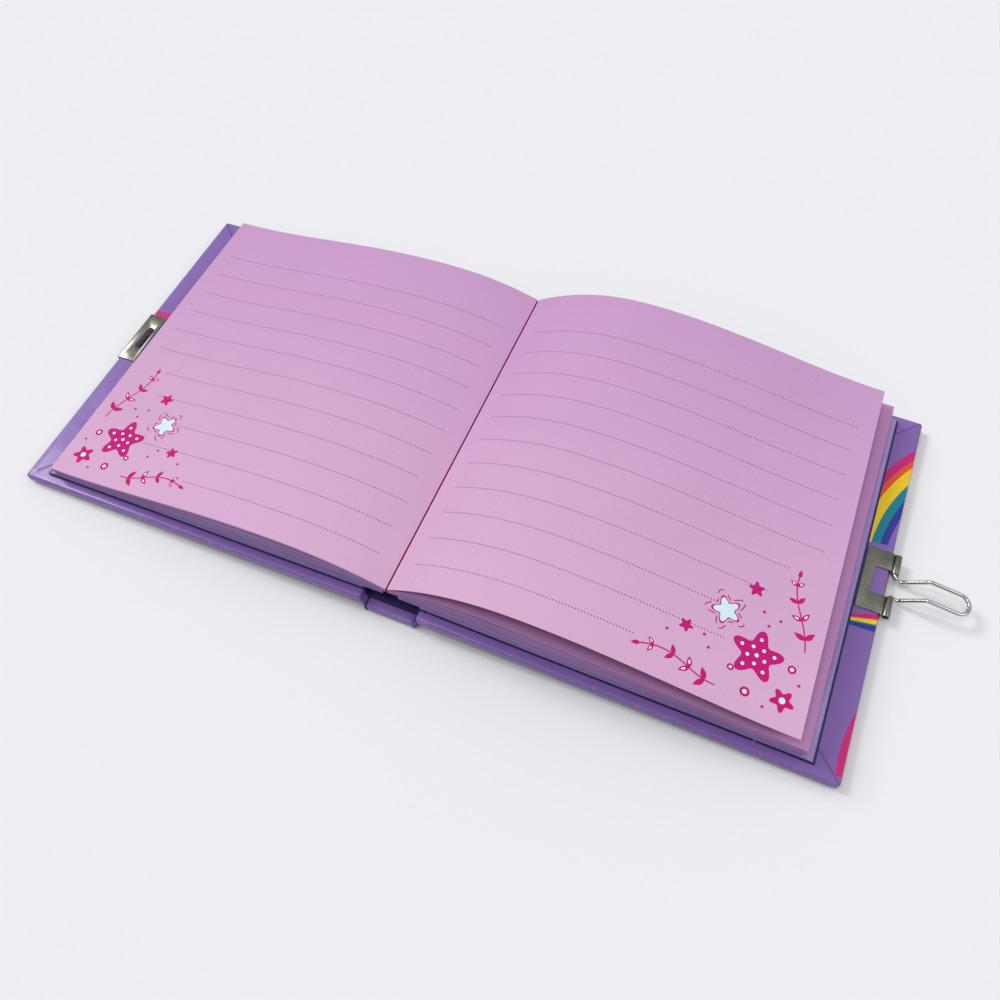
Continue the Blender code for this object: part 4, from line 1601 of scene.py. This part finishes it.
@dataclass
class Clasp:
    """The two plates on the fore-edges and the wire loop."""

    half: Half
    axis_a: float = 0.15505
    axis_b: float = 0.0034
    lock_y: float = LOCK_Y
    wire: float = 0.0008
    leg: float = 0.0039
    foot: float = 0.0066
    length: float = 0.0254
    dip: float = 0.0016
    dip_at: float = 0.0030
    kink_end: float = 0.0106
    offset: float = 0.00685
    bend: float = 0.0016
    droop: float = math.radians(8.0)
    wire_sides: int = 14
    broken_edge: float = 0.00013
    sharp: float = math.radians(35.0)
    wear_highlight: float = 1.2

    def build(self) -> None:
        """Dresses both plates and bends the loop."""
        self.build_plate("front_lock_plate", "front_plate_bevelled", "front_cover")
        self.build_plate("back_lock_plate", "back_plate_bevelled", "back_cover")
        self.build_loop()

    def build_plate(self, node: str, name: str, body: str) -> None:
        """Makes a plate with broken edges from the size and shape of its CAD node."""
        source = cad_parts[node]
        bm = bmesh.new()
        bm.from_mesh(source.data)
        bmesh.ops.remove_doubles(bm, verts=bm.verts, dist=2e-6)
        bmesh.ops.dissolve_limit(bm, angle_limit=math.radians(1.5), verts=bm.verts,
                                 edges=bm.edges)
        rub = bm.verts.layers.float.new("rub")
        sharp = [e for e in bm.edges if len(e.link_faces) == 2
                 and e.calc_face_angle() > self.sharp]
        broken = bmesh.ops.bevel(bm, geom=sharp, offset=self.broken_edge,
                                 offset_type="OFFSET", segments=2, profile=0.5,
                                 affect="EDGES", clamp_overlap=True)
        # The broken edges' points carry the wear mark, which also paints a highlight along the
        # plates' rims.
        turned = set(broken["faces"])
        for vert in broken["verts"]:
            if turned.issuperset(vert.link_faces):
                vert[rub] = self.wear_highlight
        mesh = bpy.data.meshes.new(name)
        bm.to_mesh(mesh)
        bm.free()
        mesh.shade_smooth()
        mesh.set_sharp_from_angle(angle=math.radians(50))
        show(name, mesh, [SHEET_STEEL], body, [node])

    def build_loop(self) -> None:
        """Bends round wire: feet in the barrels, a dip, a kink and the end bow."""
        corners = [Vector(p) for p in (
            (0, -self.leg - self.foot, 0), (0, -self.leg, 0),
            (self.dip_at, -self.leg, -self.dip), (self.kink_end, -self.leg, self.offset),
            (self.length - self.leg, -self.leg, self.offset))]
        path = [corners[0]]
        for before, here, after in zip(corners, corners[1:], corners[2:]):
            path += self.fillet(before, here, after)
        bow = [Vector((self.length - self.leg + self.leg * math.sin(math.pi * i / 24),
                       -self.leg * math.cos(math.pi * i / 24), self.offset))
               for i in range(1, 24)]
        path += [corners[-1]] + bow
        path += [Vector((p.x, -p.y, p.z)) for p in reversed(path[:-len(bow)])]
        base = self.half.place(self.axis_a, self.lock_y, self.axis_b)
        slant = Matrix.Rotation(self.half.slope + self.droop, 3, "Y")
        points = [base + slant @ p for p in path]
        plan, sides = Plan(), self.wire_sides
        across = Vector((0.0, 0.0, 1.0))
        for i, here in enumerate(points):
            along = (points[min(i + 1, len(points) - 1)] - points[max(i - 1, 0)]).normalized()
            across = (across - along * across.dot(along)).normalized()
            other = along.cross(across)
            plan.points += [here + (across * math.cos(math.tau * k / sides)
                                    + other * math.sin(math.tau * k / sides)) * self.wire
                            for k in range(sides)]
        plan.add_tube(0, len(points), sides)
        plan.add_face(range(sides))
        plan.add_face(range((len(points) - 1) * sides, len(points) * sides))
        show("hasp_loop_wire", plan.mesh("hasp_loop_wire"), [WIRE_STEEL], "hasp_loop",
             ["hasp_loop"])

    def fillet(self, before: Vector, here: Vector, after: Vector,
               steps: int = 8) -> list[Vector]:
        """Points of the bend at a corner of the wire."""
        one, two = (before - here).normalized(), (after - here).normalized()
        half = one.angle(two) / 2
        centre = here + (one + two).normalized() * (self.bend / math.sin(half))
        start = (here + one * (self.bend / math.tan(half)) - centre).normalized()
        end = (here + two * (self.bend / math.tan(half)) - centre).normalized()
        return [centre + self.bend * start.slerp(end, i / steps) for i in range(steps + 1)]


# ---------------------------------------------------------------- the block


@dataclass
class Block:
    """Both halves of the pages."""

    front: Half
    back: Half

    def build(self) -> None:
        """Builds the leaves and their print, and dresses the sewn sections."""
        for half in (self.front, self.back):
            paint([f"{half.prefix}_section_{i}" for i in (2, 3)], SECTION_EDGE)
            paint([f"{half.prefix}_mull"], MULL)
            FannedSection(half).build()
        self.build_front()
        self.build_back()

    def build_front(self) -> None:
        """The left page lies on its loose leaves."""
        leaves = Leaves(self.front)
        arch = Arch(0.048, (0.0154, 0.0067), (0.0145, 0.0067))
        page = Page(leaves, arch, 0.0007, 0.0004, 0.080, "front_page", "front_open_leaf")
        page.build()
        Stack(leaves, lambda a, y: page.top(a, y) - page.wall - 0.00006, 0.080,
              "front_leaf_stack", "front_loose_leaves").build()
        PagePrint(page, "front_page_print", 0.1497, 0.0080, 0.1427, 0.0521, 0.01147).build()

    def build_back(self) -> None:
        """The right page is lifted clear of the leaves below it."""
        leaves = Leaves(self.back)
        arch = Arch(0.055, (0.0252, 0.0163), (0.0245, 0.0157))
        page = Page(leaves, arch, -0.0041, -0.0057, 0.042, "back_page", "back_lifted_leaf")
        page.build()
        under = Arch(0.040, (0.0141, 0.0090), (0.0141, 0.0090), gutter=0.0064)
        Stack(leaves, lambda a, y: leaves.arch_b(under, a, y), 0.042, "back_leaf_stack",
              "back_loose_leaves").build()
        PagePrint(page, "back_page_print", 0.1453, 0.0061, 0.1392, 0.0524, 0.0115).build()


# ---------------------------------------------------------------- the studio


@dataclass
class Studio:
    """The photograph's camera, the lamps, the table and the room's light."""

    eye: tuple[float, float, float] = (0.09939937, -0.18508150, 0.31182804)
    azimuth: float = math.radians(25.69053)
    elevation: float = math.radians(58.87740)
    roll: float = math.radians(-3.51147)
    focal: float = 33.21668
    room: float = 0.575
    table_reach: float = 3.0
    table_z: float = -0.00005
    lamps: tuple[tuple[str, tuple[float, float, float], float, float], ...] = (
        ("key", (-0.72, 0.12, 0.69), 1.30, 20.0),
        ("top", (-0.24, -0.24, 0.94), 0.46, 14.0),
        ("fill", (0.70, 0.00, 0.70), 0.52, 40.0))

    def build(self) -> None:
        """Sets the scene round the diary."""
        self.build_camera()
        self.build_floor()
        for lamp in self.lamps:
            self.build_lamp(*lamp)
        self.build_world()
        bpy.context.scene.view_settings.view_transform = "Standard"

    def build_camera(self) -> None:
        """The camera, from the fit to the photograph."""
        sa, ca = math.sin(self.azimuth), math.cos(self.azimuth)
        se, ce = math.sin(self.elevation), math.cos(self.elevation)
        ahead = Vector((-sa * ce, ca * ce, -se))
        right = Vector((ca, sa, 0.0))
        up = right.cross(ahead)
        turned = right * math.cos(self.roll) + up * math.sin(self.roll)
        upright = up * math.cos(self.roll) - right * math.sin(self.roll)
        data = bpy.data.cameras.new("photo_camera")
        data.lens, data.sensor_width, data.sensor_fit = self.focal, 36.0, "HORIZONTAL"
        data.clip_start = 0.01
        camera = link("photo_camera", data)
        camera.matrix_world = Matrix.Translation(self.eye) @ Matrix(
            (turned, upright, -ahead)).transposed().to_4x4()
        bpy.context.scene.camera = camera

    def build_floor(self) -> None:
        """The table, just under the diary."""
        reach, z = self.table_reach, self.table_z
        mesh = bpy.data.meshes.new("table")
        mesh.from_pydata([(-reach, -reach, z), (reach, -reach, z), (reach, reach, z),
                          (-reach, reach, z)], [], [(0, 1, 2, 3)])
        mesh.materials.append(FloorFinish().material())
        link("table", mesh)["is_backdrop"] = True

    def build_lamp(self, name: str, towards: tuple[float, float, float], strength: float,
                   spread: float) -> None:
        """A far soft lamp.

        Args:
            name: The lamp's name.
            towards: The direction from the diary to the lamp.
            strength: Light that it throws on a face turned to it.
            spread: The angle that it fills, in degrees.
        """
        data = bpy.data.lights.new(name, "SUN")
        data.energy, data.angle = strength, math.radians(spread)
        lamp = link(name, data)
        lamp.rotation_euler = Vector(towards).to_track_quat("Z", "Y").to_euler()

    def build_world(self) -> None:
        """The room: bright above, darker towards the horizon and on the tail side."""
        world = bpy.data.worlds.new("studio_room")
        world.use_nodes = True
        bpy.context.scene.world = world
        tree = Tree(world.node_tree)
        way = tree.add("SeparateXYZ", {0: tree.add("TexCoord").outputs["Generated"]}).outputs
        shade = tree.math("MULTIPLY", tree.range(way[2], 0.0, 0.9, 0.12, 1.15),
                          tree.range(way[1], -0.9, 0.6, 0.8, 1.05))
        cool = tree.range(way[1], -0.8, 0.3, 1.12, 1.0)
        backdrop = world.node_tree.nodes["Background"]
        backdrop.inputs["Strength"].default_value = self.room
        tone = tree.add("CombineColor", {0: shade, 1: shade,
                                         2: tree.math("MULTIPLY", shade, cool)})
        world.node_tree.links.new(tone.outputs[0], backdrop.inputs["Color"])


def main() -> None:
    """Builds the diary's dressing in order and measures the two boxes."""
    logging.basicConfig(level=logging.INFO, format="%(name)s: %(message)s")
    front, back = Half(-1), Half(1)
    Studio().build()
    Case().build((front, back))
    Block(front, back).build()
    Clasp(back).build()
    boxes = {"cad": CAD_BOX, "visual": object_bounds()}
    {name: [list(corner) for corner in box] for name, box in boxes.items()}
    log.info("boxes written")


if __name__ == "__main__":
    main()
